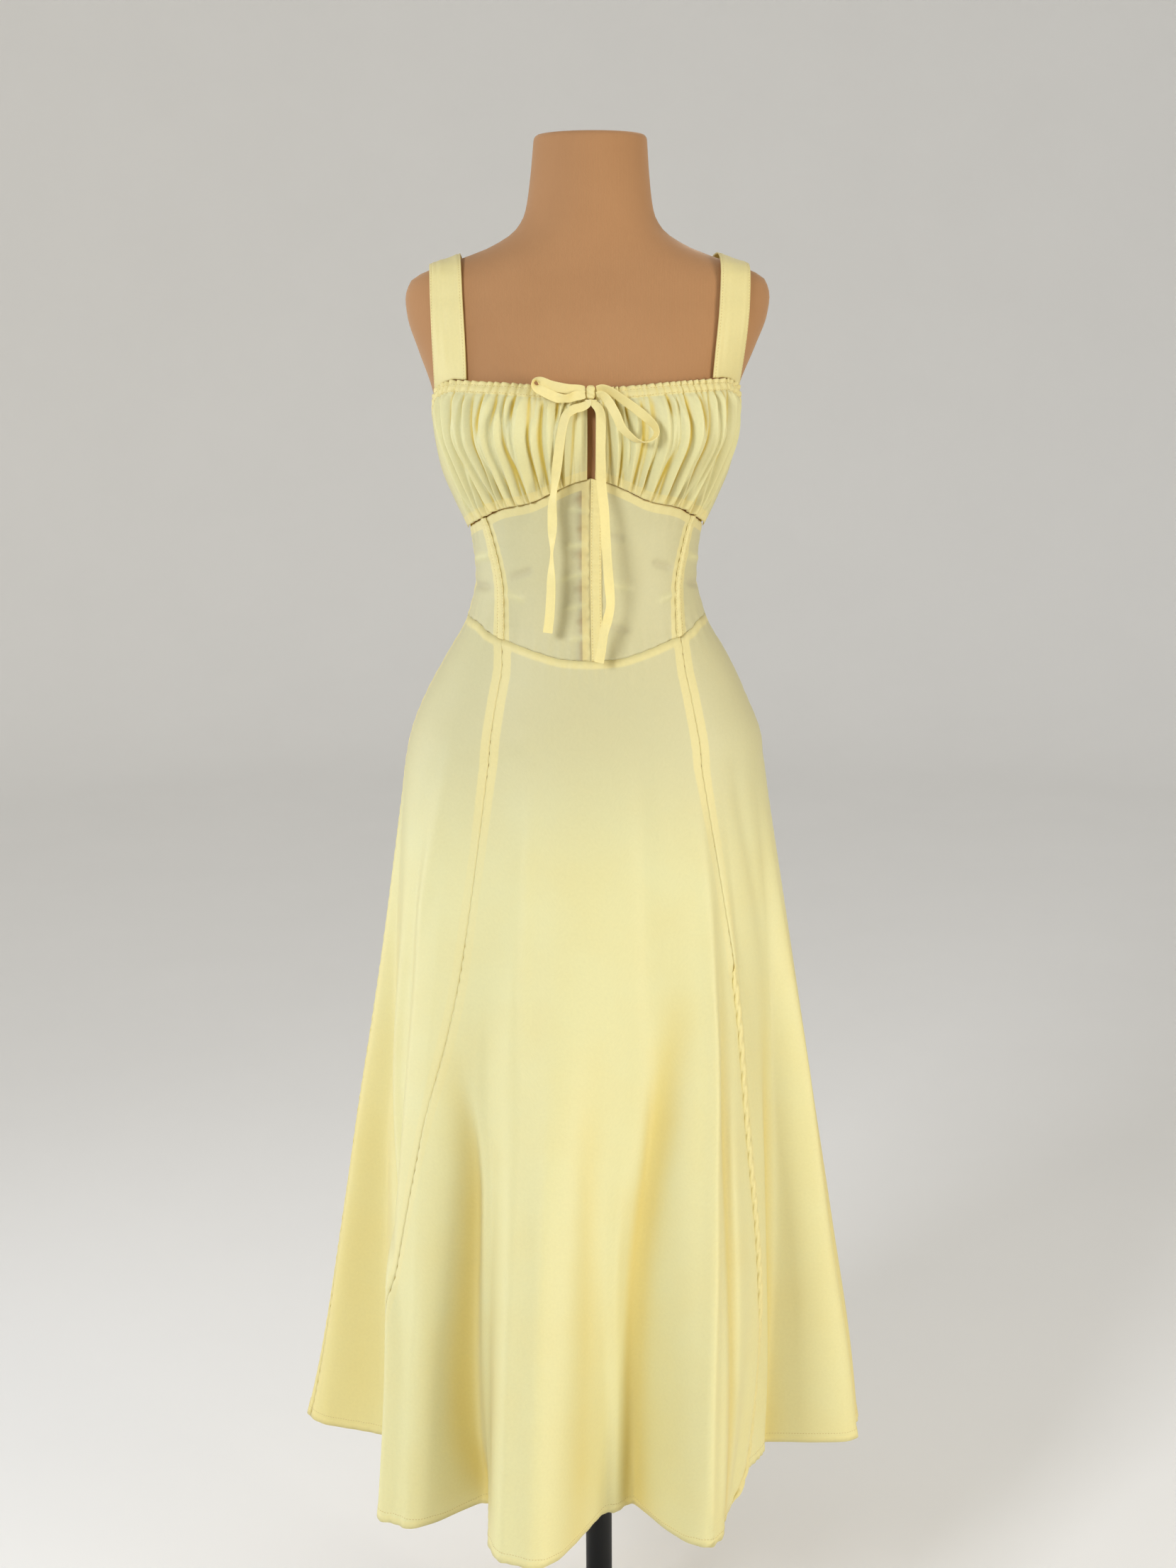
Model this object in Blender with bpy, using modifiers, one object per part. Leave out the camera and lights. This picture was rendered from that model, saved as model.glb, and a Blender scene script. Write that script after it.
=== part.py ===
"""A fitted summer dress on a limbless dress form with a pole stand.

Metres, +Z up. The origin is the middle of the base's underside, and the front faces -Y.
An angle goes round the form's upright axis: 0 is the centre front, +90 degrees is the side at
+X. Heights in the tables and routes are above the form's own datum, which SEAT places.
"""
import math

import bmesh
import bpy
import numpy as np
from mathutils import Vector

# Where the form's axis and datum stand over the base
SEAT = Vector((-0.008, 0.0, 0.070))

# Cloth
WALL = 0.0012
SEAM_GAP = 0.0003
NUDGE = 0.002
BODICE_EASE = 0.0035
HEM_HEIGHT = 0.255

# Bust shape, the same on both sides
BUST_ANGLE = 37.0
BUST_HEIGHT = 1.325
BUST_SPREAD = 23.0
BUST_TALL = 0.047
BUST_OUT = 0.017

# Gathered cups with an open slit between them
CUP_EASE = 0.0022
CUP_PUFF = 0.0065
CUP_GATHERS = 14
CUP_GATHER_DEPTH = 0.0019
CUP_COLUMNS_PER_GATHER = 4
CUP_ROWS = 8
CUP_WANDER = ((0.020, 7.0, 0.0, 0.8), (0.012, 17.0, 4.0, 0.0))
CUP_EDGE_FLAT = (0.04, 0.06)
CUP_EDGE_PUFF = 0.35
SLIT_HALF_WIDTH = 0.0038

# Strips sewn on the midriff
STRIP_WALL = 0.0010
STRIP_LIFT = 0.0005
CHANNEL_WIDTH = 0.0082
FRONT_STRIP_WIDTH = 0.0105
FRONT_STRIP_OFFSET = 0.0045
STRIP_COLUMNS = 2

# Midriff panels and back
MIDRIFF_ROWS = 9
MIDRIFF_FRONT_COLUMNS = 9
MIDRIFF_SIDE_COLUMNS = 5
BACK_COLUMNS = 20
BACK_ROWS = 11
MIDRIFF_MIDDLE = 1.18

# Shoulder straps
STRAP_WIDTH = 0.030
STRAP_WALL = 0.0015
STRAP_LIFT = 0.0026
STRAP_END_GAP = 0.0008
STRAP_FRONT_X = 0.1345
STRAP_TOP_X = 0.1420
STRAP_BACK_X = 0.1080
STRAP_TURN_HEIGHT = 1.400
STRAP_TOP_SHARE = 0.45
STRAP_END_SHARE = 0.45
STRAP_REACH = 0.25
STRAP_ROWS = 32
STRAP_COLUMNS = 4

# Skirt
FOLD_START = 0.985
FOLD_GROWTH = 1.15
HIP_EASE = 0.0020
HIP_EASE_DROP = 0.07
SKIRT_MIDDLE = 0.7
SKIRT_FRONT_COLUMNS = (12, 12, 6)
SKIRT_LEFT_COLUMNS = (6, 6)
SKIRT_RIGHT_COLUMNS = (9, 3)
SKIRT_BACK_COLUMNS = (4, 4, 3, 3, 3, 3, 4, 4)
SKIRT_ROWS = (0.0, 0.12, 0.24, 0.36, 0.48, 0.59, 0.68, 0.755, 0.81, 0.855, 0.893, 0.929, 0.965, 1.0)

# Tie of flat tape
TIE_RADIUS = 0.0022
TIE_STAND_OFF = 0.0052
KNOT_SIZE = (0.0096, 0.0085, 0.0128)
KNOT_HEIGHT = 1.3620
KNOT_ACROSS = -0.0008
KNOT_GAP = 0.00035
KNOT_BEVEL = 0.0016

# Form and stand
FORM_SIDES = 30
FORM_RING_STEP = 0.030
STAND_SIDES = 26
FORM_TOP_BEVEL = 0.006
POLE_RADIUS = 0.0145
COLLAR_RADIUS = 0.045
COLLAR_THICKNESS = 0.008
BASE_RADIUS = 0.165
BASE_THICKNESS = 0.014
SOCKET_RADIUS = 0.024
SOCKET_HEIGHT = 0.040
BASE_BEVEL = 0.004
SOCKET_BEVEL = 0.003
COLLAR_BEVEL = 0.002

# Form sections from the hips to the neck
FORM_COLUMNS = ("height", "half", "front", "back", "square")
FORM_ROWS = [
    (0.850, 0.1700, 0.098, 0.118, 2.2),
    (0.944, 0.1770, 0.105, 0.128, 2.2),
    (1.000, 0.1755, 0.104, 0.127, 2.2),
    (1.058, 0.1555, 0.098, 0.110, 2.2),
    (1.095, 0.1385, 0.093, 0.096, 2.2),
    (1.137, 0.1170, 0.088, 0.082, 2.2),
    (1.177, 0.1085, 0.085, 0.077, 2.2),
    (1.223, 0.1130, 0.087, 0.080, 2.2),
    (1.253, 0.1215, 0.091, 0.084, 2.2),
    (1.284, 0.1325, 0.096, 0.089, 2.2),
    (1.320, 0.1420, 0.103, 0.095, 2.3),
    (1.365, 0.1530, 0.105, 0.099, 2.3),
    (1.401, 0.1670, 0.099, 0.096, 2.2),
    (1.434, 0.1785, 0.088, 0.088, 2.1),
    (1.4505, 0.1805, 0.081, 0.082, 2.0),
    (1.467, 0.1755, 0.074, 0.075, 2.0),
    (1.476, 0.1620, 0.070, 0.071, 2.0),
    (1.4855, 0.1350, 0.067, 0.067, 2.0),
    (1.500, 0.0965, 0.064, 0.062, 2.0),
    (1.516, 0.0725, 0.063, 0.057, 2.0),
    (1.532, 0.0635, 0.063, 0.054, 2.0),
    (1.565, 0.0585, 0.062, 0.050, 2.0),
    (1.600, 0.0555, 0.060, 0.046, 2.0),
]

# How far the form leans to its left above the bust, by height
LEAN = ((1.360, 0.0), (1.450, 0.0035), (1.606, 0.0065))

# Outer reach of the skirt's folds, from the waist down to the hem
SKIRT_COLUMNS = ("height", "left", "right", "front", "back")
SKIRT_SECTIONS = [
    (0.255, 0.3115, 0.2945, 0.3220, 0.2970),
    (0.327, 0.2950, 0.2870, 0.3020, 0.2830),
    (0.480, 0.2675, 0.2630, 0.2600, 0.2480),
    (0.654, 0.2385, 0.2350, 0.2070, 0.2050),
    (0.8225, 0.2110, 0.2080, 0.1570, 0.1660),
    (0.9445, 0.1930, 0.1885, 0.1240, 0.1420),
    (1.000, 0.1850, 0.1800, 0.1120, 0.1330),
    (1.058, 0.1675, 0.1600, 0.1035, 0.1145),
    (1.095, 0.1490, 0.1425, 0.0975, 0.1000),
    (1.137, 0.1205, 0.1205, 0.0915, 0.0855),
]

# Skirt folds in order round the body: where each runs at three heights, half the width of
# its flat, and how far it sinks at the hem as a share of the radius there
FOLD_HEIGHTS = (0.255, 0.500, 0.950)
FOLD_COLUMNS = ("hem", "middle", "hip", "flat", "depth")
FOLD_ROWS = [
    (-160.0, -160.0, -160.0, 1.0, 0.19),
    (-140.0, -140.0, -140.0, 1.5, 0.03),
    (-118.0, -118.0, -116.0, 2.0, 0.22),
    (-95.0, -94.0, -92.0, 3.0, 0.00),
    (-69.0, -73.0, -79.0, 7.0, 0.27),
    (-43.0, -50.0, -64.0, 3.0, 0.03),
    (-31.0, -34.0, -47.0, 1.0, 0.27),
    (-15.5, -17.0, -22.0, 3.0, 0.00),
    (5.0, 9.0, 23.0, 3.0, 0.33),
    (20.0, 28.0, 44.0, 2.0, 0.06),
    (31.0, 45.5, 52.0, 1.0, 0.18),
    (55.0, 58.0, 66.0, 8.0, 0.31),
    (82.0, 82.0, 88.0, 8.0, 0.01),
    (118.0, 118.0, 116.0, 2.0, 0.20),
    (140.0, 140.0, 140.0, 1.5, 0.03),
    (160.0, 160.0, 160.0, 1.0, 0.19),
    (180.0, 180.0, 180.0, 1.5, 0.04),
]

# Edges and seams, given as heights by angle and the same on both sides
TOP_EDGE = ((0.0, 1.3650), (20.0, 1.3680), (40.0, 1.3715), (60.0, 1.3730), (68.0, 1.3690),
            (80.0, 1.3500), (90.0, 1.3200), (108.0, 1.3240), (128.0, 1.3460), (142.0, 1.3520),
            (180.0, 1.3520))
UNDERBUST = ((0.0, 1.2797), (9.0, 1.2755), (21.0, 1.2660), (32.0, 1.2565), (50.0, 1.2485),
             (62.0, 1.2395), (75.0, 1.2315), (90.0, 1.2245))
WAIST_SEAM = ((0.0, 1.1012), (16.0, 1.1028), (31.0, 1.1095), (45.0, 1.1180), (60.0, 1.1265),
              (70.0, 1.1345), (90.0, 1.1375), (180.0, 1.1350))

# Lengthwise seams, given as angles by height
CHANNEL_LINE = ((1.115, 51.0), (1.180, 57.0), (1.245, 64.0))
LEFT_PANEL_SEAM = ((0.255, -55.0), (0.450, -53.0), (0.630, -51.0), (0.800, -48.0), (1.030, -47.8),
                   (1.085, -47.5), (1.130, -52.0))
SLIT_FRONT_EDGE = ((0.255, 30.0), (0.290, 36.5), (0.360, 41.5), (0.430, 44.5), (0.520, 46.5),
                   (0.620, 47.5), (0.793, 51.0), (0.950, 50.5), (1.080, 50.0), (1.130, 53.0))
SLIT_SIDE_EDGE = ((0.255, 46.5), (0.290, 46.8), (0.360, 47.0), (0.430, 47.5), (0.520, 48.0),
                  (0.620, 48.6), (0.793, 51.0), (0.950, 50.5), (1.080, 50.0), (1.130, 53.0))
SIDE_SEAM = 90.0

# Tie routes: across, height, and how far it stands off the cloth beyond its own clearance
LOOP_LEFT = ((-0.0061, 1.3649, 0.001), (-0.0140, 1.3650, 0.002), (-0.0234, 1.3655, 0.004),
             (-0.0394, 1.3690, 0.003), (-0.0500, 1.3735, 0.004), (-0.0545, 1.3728, 0.006),
             (-0.0535, 1.3680, 0.008), (-0.0441, 1.3625, 0.008), (-0.0328, 1.3575, 0.006),
             (-0.0235, 1.3568, 0.005), (-0.0150, 1.3590, 0.002), (-0.0061, 1.3597, 0.001))
LOOP_RIGHT = ((0.0045, 1.3651, 0.001), (0.0107, 1.3655, 0.002), (0.0187, 1.3625, 0.005),
              (0.0294, 1.3550, 0.005), (0.0405, 1.3470, 0.005), (0.0520, 1.3375, 0.005),
              (0.0590, 1.3300, 0.005), (0.0600, 1.3225, 0.006), (0.0515, 1.3160, 0.008),
              (0.0421, 1.3172, 0.009), (0.0347, 1.3222, 0.009), (0.0274, 1.3298, 0.009),
              (0.0217, 1.3421, 0.009), (0.0145, 1.3548, 0.007), (0.0090, 1.3596, 0.003),
              (0.0046, 1.3598, 0.001))
TAIL_LEFT = ((-0.0034, 1.3552, 0.000), (-0.0038, 1.3518, 0.000), (-0.0090, 1.3487, 0.000),
             (-0.0180, 1.3462, 0.000), (-0.0245, 1.3410, 0.000), (-0.0275, 1.3330, 0.000),
             (-0.0297, 1.3220, 0.000), (-0.0322, 1.3040, 0.001),
             (-0.0345, 1.2840, 0.004), (-0.0378, 1.2551, 0.011), (-0.0380, 1.2375, 0.014),
             (-0.0388, 1.2104, 0.018), (-0.0396, 1.1852, 0.020), (-0.0400, 1.1700, 0.020),
             (-0.0413, 1.1500, 0.018), (-0.0435, 1.1316, 0.015))
TAIL_RIGHT = ((0.0018, 1.3552, 0.000), (0.0022, 1.3518, 0.000), (0.0062, 1.3470, 0.001),
              (0.0083, 1.3400, 0.000), (0.0084, 1.3292, 0.001), (0.0080, 1.3105, 0.003),
              (0.0085, 1.2918, 0.006), (0.0091, 1.2750, 0.010), (0.0117, 1.2508, 0.014),
              (0.0127, 1.2312, 0.017), (0.0143, 1.2033, 0.020), (0.0156, 1.1862, 0.021),
              (0.0174, 1.1602, 0.020), (0.0147, 1.1450, 0.018), (0.0112, 1.1316, 0.016),
              (0.0084, 1.1140, 0.013), (0.0063, 1.1022, 0.010))
ROUTE_STEP = 0.0125
ROUTE_FINE = 12
ROUTE_END = 0.003

COLLECTION = "dress_on_stand"


def monotone(xs, ys, x):
    """Smooth curve through the points of a table, with no overshoot."""
    x = min(max(x, xs[0]), xs[-1])
    i = int(min(np.searchsorted(xs, x, side="right") - 1, len(xs) - 2))
    steps = np.diff(xs)
    slopes = np.diff(ys) / steps
    tangents = []
    for k in (i, i + 1):
        if k == 0 or k == len(xs) - 1:
            tangents.append(slopes[min(k, len(slopes) - 1)])
        elif slopes[k - 1] * slopes[k] <= 0:
            tangents.append(0.0)
        else:
            before, after = steps[k - 1], steps[k]
            weights = (2 * after + before, after + 2 * before)
            tangents.append(sum(weights) / (weights[0] / slopes[k - 1] + weights[1] / slopes[k]))
    t = (x - xs[i]) / steps[i]
    return float((2 * t**3 - 3 * t**2 + 1) * ys[i] + (t**3 - 2 * t**2 + t) * steps[i] * tangents[0]
                 + (3 * t**2 - 2 * t**3) * ys[i + 1] + (t**3 - t**2) * steps[i] * tangents[1])


def table(names, rows):
    """Columns of a table by name."""
    return {name: np.array([row[i] for row in rows], float) for i, name in enumerate(names)}


FORM = table(FORM_COLUMNS, FORM_ROWS)
SKIRT = table(SKIRT_COLUMNS, SKIRT_SECTIONS)
FOLDS = table(FOLD_COLUMNS, FOLD_ROWS)


def along(pairs, x):
    """Value of a two-column table at x."""
    return monotone(np.array([p[0] for p in pairs]), np.array([p[1] for p in pairs]), x)


def section(angle, side, depth, square):
    """Radius of a rounded section with that half width and depth."""
    across = abs(math.sin(math.radians(angle))) / side
    ahead = abs(math.cos(math.radians(angle))) / depth
    return (across**square + ahead**square) ** (-1 / square)


def bust(angle, height):
    """How far the bust stands out."""
    spread = (abs(angle) - BUST_ANGLE) / BUST_SPREAD
    tall = (height - BUST_HEIGHT) / BUST_TALL
    return BUST_OUT * math.exp(-spread * spread - tall * tall)


def form_radius(angle, height):
    """Radius of the form's surface."""
    values = {name: monotone(FORM["height"], FORM[name], height) for name in FORM_COLUMNS[1:]}
    depth = values["front"] if abs(angle) < 90 else values["back"]
    return section(angle, values["half"], depth, values["square"]) + bust(angle, height)


def point(angle, height, radius):
    """Place at an angle, a height and a distance from the axis, which leans a little at the top."""
    turn = math.radians(angle)
    across, forward = radius * math.sin(turn) + along(LEAN, height), radius * math.cos(turn)
    return Vector((across, -forward, height)) + SEAT


def bodice_radius(angle, height):
    """Outer radius of the fitted cloth."""
    return form_radius(angle, height) + BODICE_EASE


def short_way(angle):
    """The same angle between -180 and 180 degrees."""
    return (angle + 180) % 360 - 180


def smoothstep(t):
    """Smooth rise from 0 to 1."""
    t = min(max(t, 0.0), 1.0)
    return t * t * (3 - 2 * t)


def fold_depth(angle, height):
    """How far the skirt's folds sink at a place, as a share of the radius."""
    share = [np.interp(height, FOLD_HEIGHTS, (FOLDS["hem"][i], FOLDS["middle"][i], FOLDS["hip"][i]))
             for i in range(len(FOLD_ROWS))]
    centres = np.array([share[-1] - 360] + share + [share[0] + 360])
    flats = np.concatenate([FOLDS["flat"][-1:], FOLDS["flat"], FOLDS["flat"][:1]])
    depths = np.concatenate([FOLDS["depth"][-1:], FOLDS["depth"], FOLDS["depth"][:1]])
    i = int(np.searchsorted(centres, angle, side="right") - 1)
    start, end = centres[i] + flats[i], centres[i + 1] - flats[i + 1]
    depth = depths[i] + (depths[i + 1] - depths[i]) * smoothstep((angle - start) / (end - start))
    growth = min(max((FOLD_START - height) / (FOLD_START - HEM_HEIGHT), 0.0), 1.0)
    return depth * growth**FOLD_GROWTH


def skirt_radius(angle, height):
    """Outer radius of the skirt."""
    values = {name: monotone(SKIRT["height"], SKIRT[name], height) for name in SKIRT_COLUMNS[1:]}
    turn = math.sin(math.radians(angle))
    side = values["right"] if turn > 0 else values["left"]
    depth = values["front"] if abs(angle) < 90 else values["back"]
    blend = smoothstep((height - SKIRT["height"][-4]) / (SKIRT["height"][-1] - SKIRT["height"][-4]))
    draped = section(angle, side, depth, 2.0) * (1 - fold_depth(angle, height))
    fitted = bodice_radius(angle, height)
    drop = along(WAIST_SEAM, abs(angle)) - height
    least = fitted + HIP_EASE * smoothstep(drop / HIP_EASE_DROP)
    return max(draped * (1 - blend) + fitted * blend, least)


def cup_radius(angle, height, across, up):
    """Outer radius of a gathered cup at a share of its width and height."""
    wander = sum(size * math.sin(rate * across + slant * up + start)
                 for size, rate, slant, start in CUP_WANDER)
    wave = math.cos(2 * math.pi * CUP_GATHERS * (across + wander * (1 - across) * across * 4))
    fullness = 0.75 + 0.25 * abs(2 * up - 1)
    puff = CUP_PUFF * math.sin(math.pi * min(max(up, 0.0), 1.0)) ** 0.8
    edge = smoothstep(across / CUP_EDGE_FLAT[0]) * smoothstep((1 - across) / CUP_EDGE_FLAT[1])
    return (bodice_radius(angle, height) + CUP_EASE
            + puff * (CUP_EDGE_PUFF + (1 - CUP_EDGE_PUFF) * edge)
            + CUP_GATHER_DEPTH * wave * fullness * edge)


def material(name, colour, roughness, metallic=0.0):
    """Plain finish for the solids."""
    made = bpy.data.materials.get(name) or bpy.data.materials.new(name)
    made.use_nodes = True
    shader = made.node_tree.nodes["Principled BSDF"]
    shader.inputs["Base Color"].default_value = (*colour, 1.0)
    shader.inputs["Roughness"].default_value = roughness
    shader.inputs["Metallic"].default_value = metallic
    return made


def finish(name, mesh, look):
    """Put a mesh in the scene as a named piece."""
    piece = bpy.data.objects.new(name, mesh)
    piece.data.materials.append(look)
    bpy.data.collections[COLLECTION].objects.link(piece)
    mesh.shade_smooth()
    mesh.set_sharp_from_angle(angle=math.radians(50))
    return piece


def halves(corners):
    """The two triangles of a four-sided patch, parted along its shorter diagonal.

    Both sides of a wall are parted alike, so that they never cross where the cloth turns.
    """
    if (corners[1] - corners[3]).length < (corners[0] - corners[2]).length:
        return (0, 1, 3), (1, 2, 3)
    return (0, 1, 2), (0, 2, 3)


def cloth(name, surface, columns, rows, look, wall=WALL):
    """A wall of cloth below an outer surface that is given by shares across and up.

    Its inner side is square to the shared surface, so neighbours meet face to face at a seam.
    """
    outer = [[surface(i / columns, j / rows) for i in range(columns + 1)] for j in range(rows + 1)]
    inner = []
    for j, row in enumerate(outer):
        above, below = outer[min(j + 1, rows)], outer[max(j - 1, 0)]
        inner.append([])
        for i, place in enumerate(row):
            across = i / columns
            sideways = surface(across + NUDGE, j / rows) - surface(across - NUDGE, j / rows)
            inner[-1].append(place - sideways.cross(above[i] - below[i]).normalized() * wall)
    shape = bmesh.new()
    front, back = [[[shape.verts.new(place) for place in row] for row in side]
                   for side in (outer, inner)]
    for j in range(rows):
        for i in range(columns):
            corners = ((j, i), (j, i + 1), (j + 1, i + 1), (j + 1, i))
            for half in halves([outer[m][n] for m, n in corners]):
                shape.faces.new([front[m][n] for m, n in (corners[k] for k in half)])
                shape.faces.new([back[m][n] for m, n in (corners[k] for k in reversed(half))])
        shape.faces.new((back[j][0], front[j][0], front[j + 1][0], back[j + 1][0]))
        shape.faces.new((front[j][-1], back[j][-1], back[j + 1][-1], front[j + 1][-1]))
    for i in range(columns):
        shape.faces.new((back[0][i], back[0][i + 1], front[0][i + 1], front[0][i]))
        shape.faces.new((front[-1][i], front[-1][i + 1], back[-1][i + 1], back[-1][i]))
    mesh = bpy.data.meshes.new(name)
    shape.to_mesh(mesh)
    shape.free()
    return finish(name, mesh, look)


def between(first, last, height, radius, share):
    """Angle at a share of the way between two seams, half a gap in from each."""
    trim = math.degrees(0.5 * SEAM_GAP / radius)
    left, right = first(height) + trim, last(height) - trim
    return left + (right - left) * share


def fitted_panel(name, first, last, low, high, columns, rows, look):
    """A close panel of the bodice between two upright seams and two level ones."""
    def surface(across, up):
        start, stop = first(MIDRIFF_MIDDLE), last(MIDRIFF_MIDDLE)
        middle, guess = 0.5 * (start + stop), start + (stop - start) * across
        for _ in range(3):
            bottom = low(abs(guess)) + 0.5 * SEAM_GAP
            height = bottom + (high(abs(guess)) - 0.5 * SEAM_GAP - bottom) * up
            guess = between(first, last, height, form_radius(middle, height), across)
        return point(guess, height, bodice_radius(guess, height))
    return cloth(name, surface, columns, rows, look)


def cup(name, side, look):
    """One gathered cup from the open slit to the side seam."""
    def surface(across, up):
        across = across if side > 0 else 1 - across
        angle = side * 10
        for _ in range(3):
            bottom = along(UNDERBUST, abs(angle)) + SEAM_GAP
            height = bottom + (along(TOP_EDGE, abs(angle)) - bottom) * up
            reach = form_radius(0, height) + BODICE_EASE
            start = math.degrees(SLIT_HALF_WIDTH / reach)
            stop = SIDE_SEAM - math.degrees(0.5 * SEAM_GAP / form_radius(90, height))
            angle = side * (start + (stop - start) * across)
        return point(angle, height, cup_radius(angle, height, across, up))
    return cloth(name, surface, CUP_GATHERS * CUP_COLUMNS_PER_GATHER, CUP_ROWS, look)


def strip(name, line, width, look):
    """A flat strip on the midriff that follows a line of angles by height."""
    def surface(across, up):
        angle = line(MIDRIFF_MIDDLE)
        for _ in range(3):
            bottom = along(WAIST_SEAM, abs(angle)) + 2 * SEAM_GAP
            height = bottom + (along(UNDERBUST, abs(angle)) - 4 * SEAM_GAP - bottom) * up
            radius = bodice_radius(line(height), height)
            angle = line(height) + math.degrees((across - 0.5) * width / radius)
        lift = STRIP_LIFT + STRIP_WALL
        return point(angle, height, bodice_radius(angle, height) + lift)
    return cloth(name, surface, STRIP_COLUMNS, MIDRIFF_ROWS, look, STRIP_WALL)


def skirt_height(angle, up):
    """Height of a row of the skirt, with the rows closer together over the hips."""
    top = along(WAIST_SEAM, abs(angle)) - 0.5 * SEAM_GAP
    row = round(up * (len(SKIRT_ROWS) - 1))
    return HEM_HEIGHT + (top - HEM_HEIGHT) * SKIRT_ROWS[row]


def fold_line(row):
    """Angle of a fold by height, as a line that a panel's columns can follow."""
    angles = FOLD_ROWS[row][:3]
    return lambda height: float(np.interp(height, FOLD_HEIGHTS, angles)) % 360


def seam_line(pairs):
    """Angle of a lengthwise seam by height."""
    return lambda height: along(pairs, height)


def skirt_panel(name, lines, counts, look):
    """A flared panel from the waist seam to the hem, its columns spread between upright lines."""
    ends = np.cumsum([0, *counts])

    def surface(across, up):
        column = across * ends[-1]
        part = int(min(max(np.searchsorted(ends, column, side="right") - 1, 0), len(counts) - 1))
        share = (column - ends[part]) / counts[part]
        angle, height = lines[part](SKIRT_MIDDLE), SKIRT_MIDDLE
        for _ in range(5):
            trim = math.degrees(0.5 * SEAM_GAP / skirt_radius(short_way(angle), height))
            left = lines[part](height) + (trim if part == 0 else 0)
            right = lines[part + 1](height) - (trim if part == len(counts) - 1 else 0)
            angle = left + (right - left) * share
            height = skirt_height(short_way(angle), up)
        return point(angle, height, skirt_radius(short_way(angle), height))
    return cloth(name, surface, int(ends[-1]), len(SKIRT_ROWS) - 1, look)


def over_shoulder(x, turn):
    """Outer side of a strap at a turn from straight up round the shoulder, positive to the back."""
    ahead, rise = -math.sin(math.radians(turn)), math.cos(math.radians(turn))
    near, far = 0.0, STRAP_REACH
    for _ in range(26):
        middle = 0.5 * (near + far)
        forward, height = ahead * middle, STRAP_TURN_HEIGHT + rise * middle
        if math.hypot(x, forward) < strap_radius(math.degrees(math.atan2(x, forward)), height):
            near = middle
        else:
            far = middle
    height = STRAP_TURN_HEIGHT + rise * far
    return Vector((x + along(LEAN, height), -ahead * far, height)) + SEAT


def strap_radius(angle, height):
    """Radius of a strap's outer side, clear of the form all round and above."""
    lift = STRAP_LIFT + STRAP_WALL
    return form_radius(angle, height - lift) + lift


def strap_end(x, back):
    """Turn at which a strap meets the top edge, on the front or on the back."""
    angle = math.degrees(math.asin(min(abs(x) / form_radius(90, STRAP_TURN_HEIGHT), 1.0)))
    for _ in range(6):
        side_angle = 180 - angle if back else angle
        height = along(TOP_EDGE, side_angle) + STRAP_END_GAP
        radius = strap_radius(side_angle, height)
        angle = math.degrees(math.asin(min(abs(x) / radius, 0.999)))
    forward = radius * math.cos(math.radians(180 - angle if back else angle))
    return math.degrees(math.atan2(-forward, height - STRAP_TURN_HEIGHT))


def strap(name, side, look):
    """A flat strap over one shoulder, from the cup to the back, square across it but for its ends."""
    first, last = strap_end(STRAP_FRONT_X, False), strap_end(STRAP_BACK_X, True)

    def surface(across, up):
        start = strap_end(STRAP_FRONT_X + (across - 0.5) * STRAP_WIDTH * side, False)
        stop = strap_end(STRAP_BACK_X + (across - 0.5) * STRAP_WIDTH * side, True)
        turn = (first + (last - first) * up
                + (start - first) * max(0.0, 1 - up / STRAP_END_SHARE) ** 2
                + (stop - last) * max(0.0, 1 - (1 - up) / STRAP_END_SHARE) ** 2)
        middle = monotone(np.array([0.0, STRAP_TOP_SHARE, 1.0]),
                          np.array([STRAP_FRONT_X, STRAP_TOP_X, STRAP_BACK_X]), up)
        x = side * middle + (across - 0.5) * STRAP_WIDTH
        return over_shoulder(x, turn)
    return cloth(name, surface, STRAP_COLUMNS, STRAP_ROWS, look, STRAP_WALL)


def front_of(x, height):
    """How far forward the cloth's outer side reaches at a place seen from the front."""
    angle = math.degrees(math.asin(x / form_radius(0, BUST_HEIGHT)))
    for _ in range(8):
        low, high = along(UNDERBUST, abs(angle)), along(TOP_EDGE, abs(angle))
        up = (height - low) / (high - low)
        radius = bodice_radius(angle, height)
        if up > 0:
            radius += CUP_EASE + CUP_PUFF * math.sin(math.pi * min(up, 1.0)) ** 0.8
        angle = math.degrees(math.asin(x / radius))
    return radius * math.cos(math.radians(angle))


def smooth_route(points, step):
    """Evenly spaced points on a smooth curve through a route's own points, and one near each end."""
    fine = []
    padded = [2 * points[0] - points[1], *points, 2 * points[-1] - points[-2]]
    for p0, p1, p2, p3 in zip(padded, padded[1:], padded[2:], padded[3:]):
        for k in range(ROUTE_FINE):
            t = k / ROUTE_FINE
            fine.append(0.5 * (2 * p1 + (p2 - p0) * t + (2 * p0 - 5 * p1 + 4 * p2 - p3) * t * t
                               + (3 * p1 - p0 - 3 * p2 + p3) * t**3))
    fine.append(points[-1])
    lengths = np.concatenate([[0], np.cumsum([(b - a).length for a, b in zip(fine, fine[1:])])])
    count = max(2, round(lengths[-1] / step))
    stations = np.linspace(0, lengths[-1], count + 1)
    stations = np.sort(np.append(stations, [ROUTE_END, lengths[-1] - ROUTE_END]))
    places = []
    for wanted in stations:
        i = int(min(np.searchsorted(lengths, wanted, side="right") - 1, len(fine) - 2))
        places.append(fine[i].lerp(fine[i + 1], (wanted - lengths[i]) / (lengths[i + 1] - lengths[i])))
    return places


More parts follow.
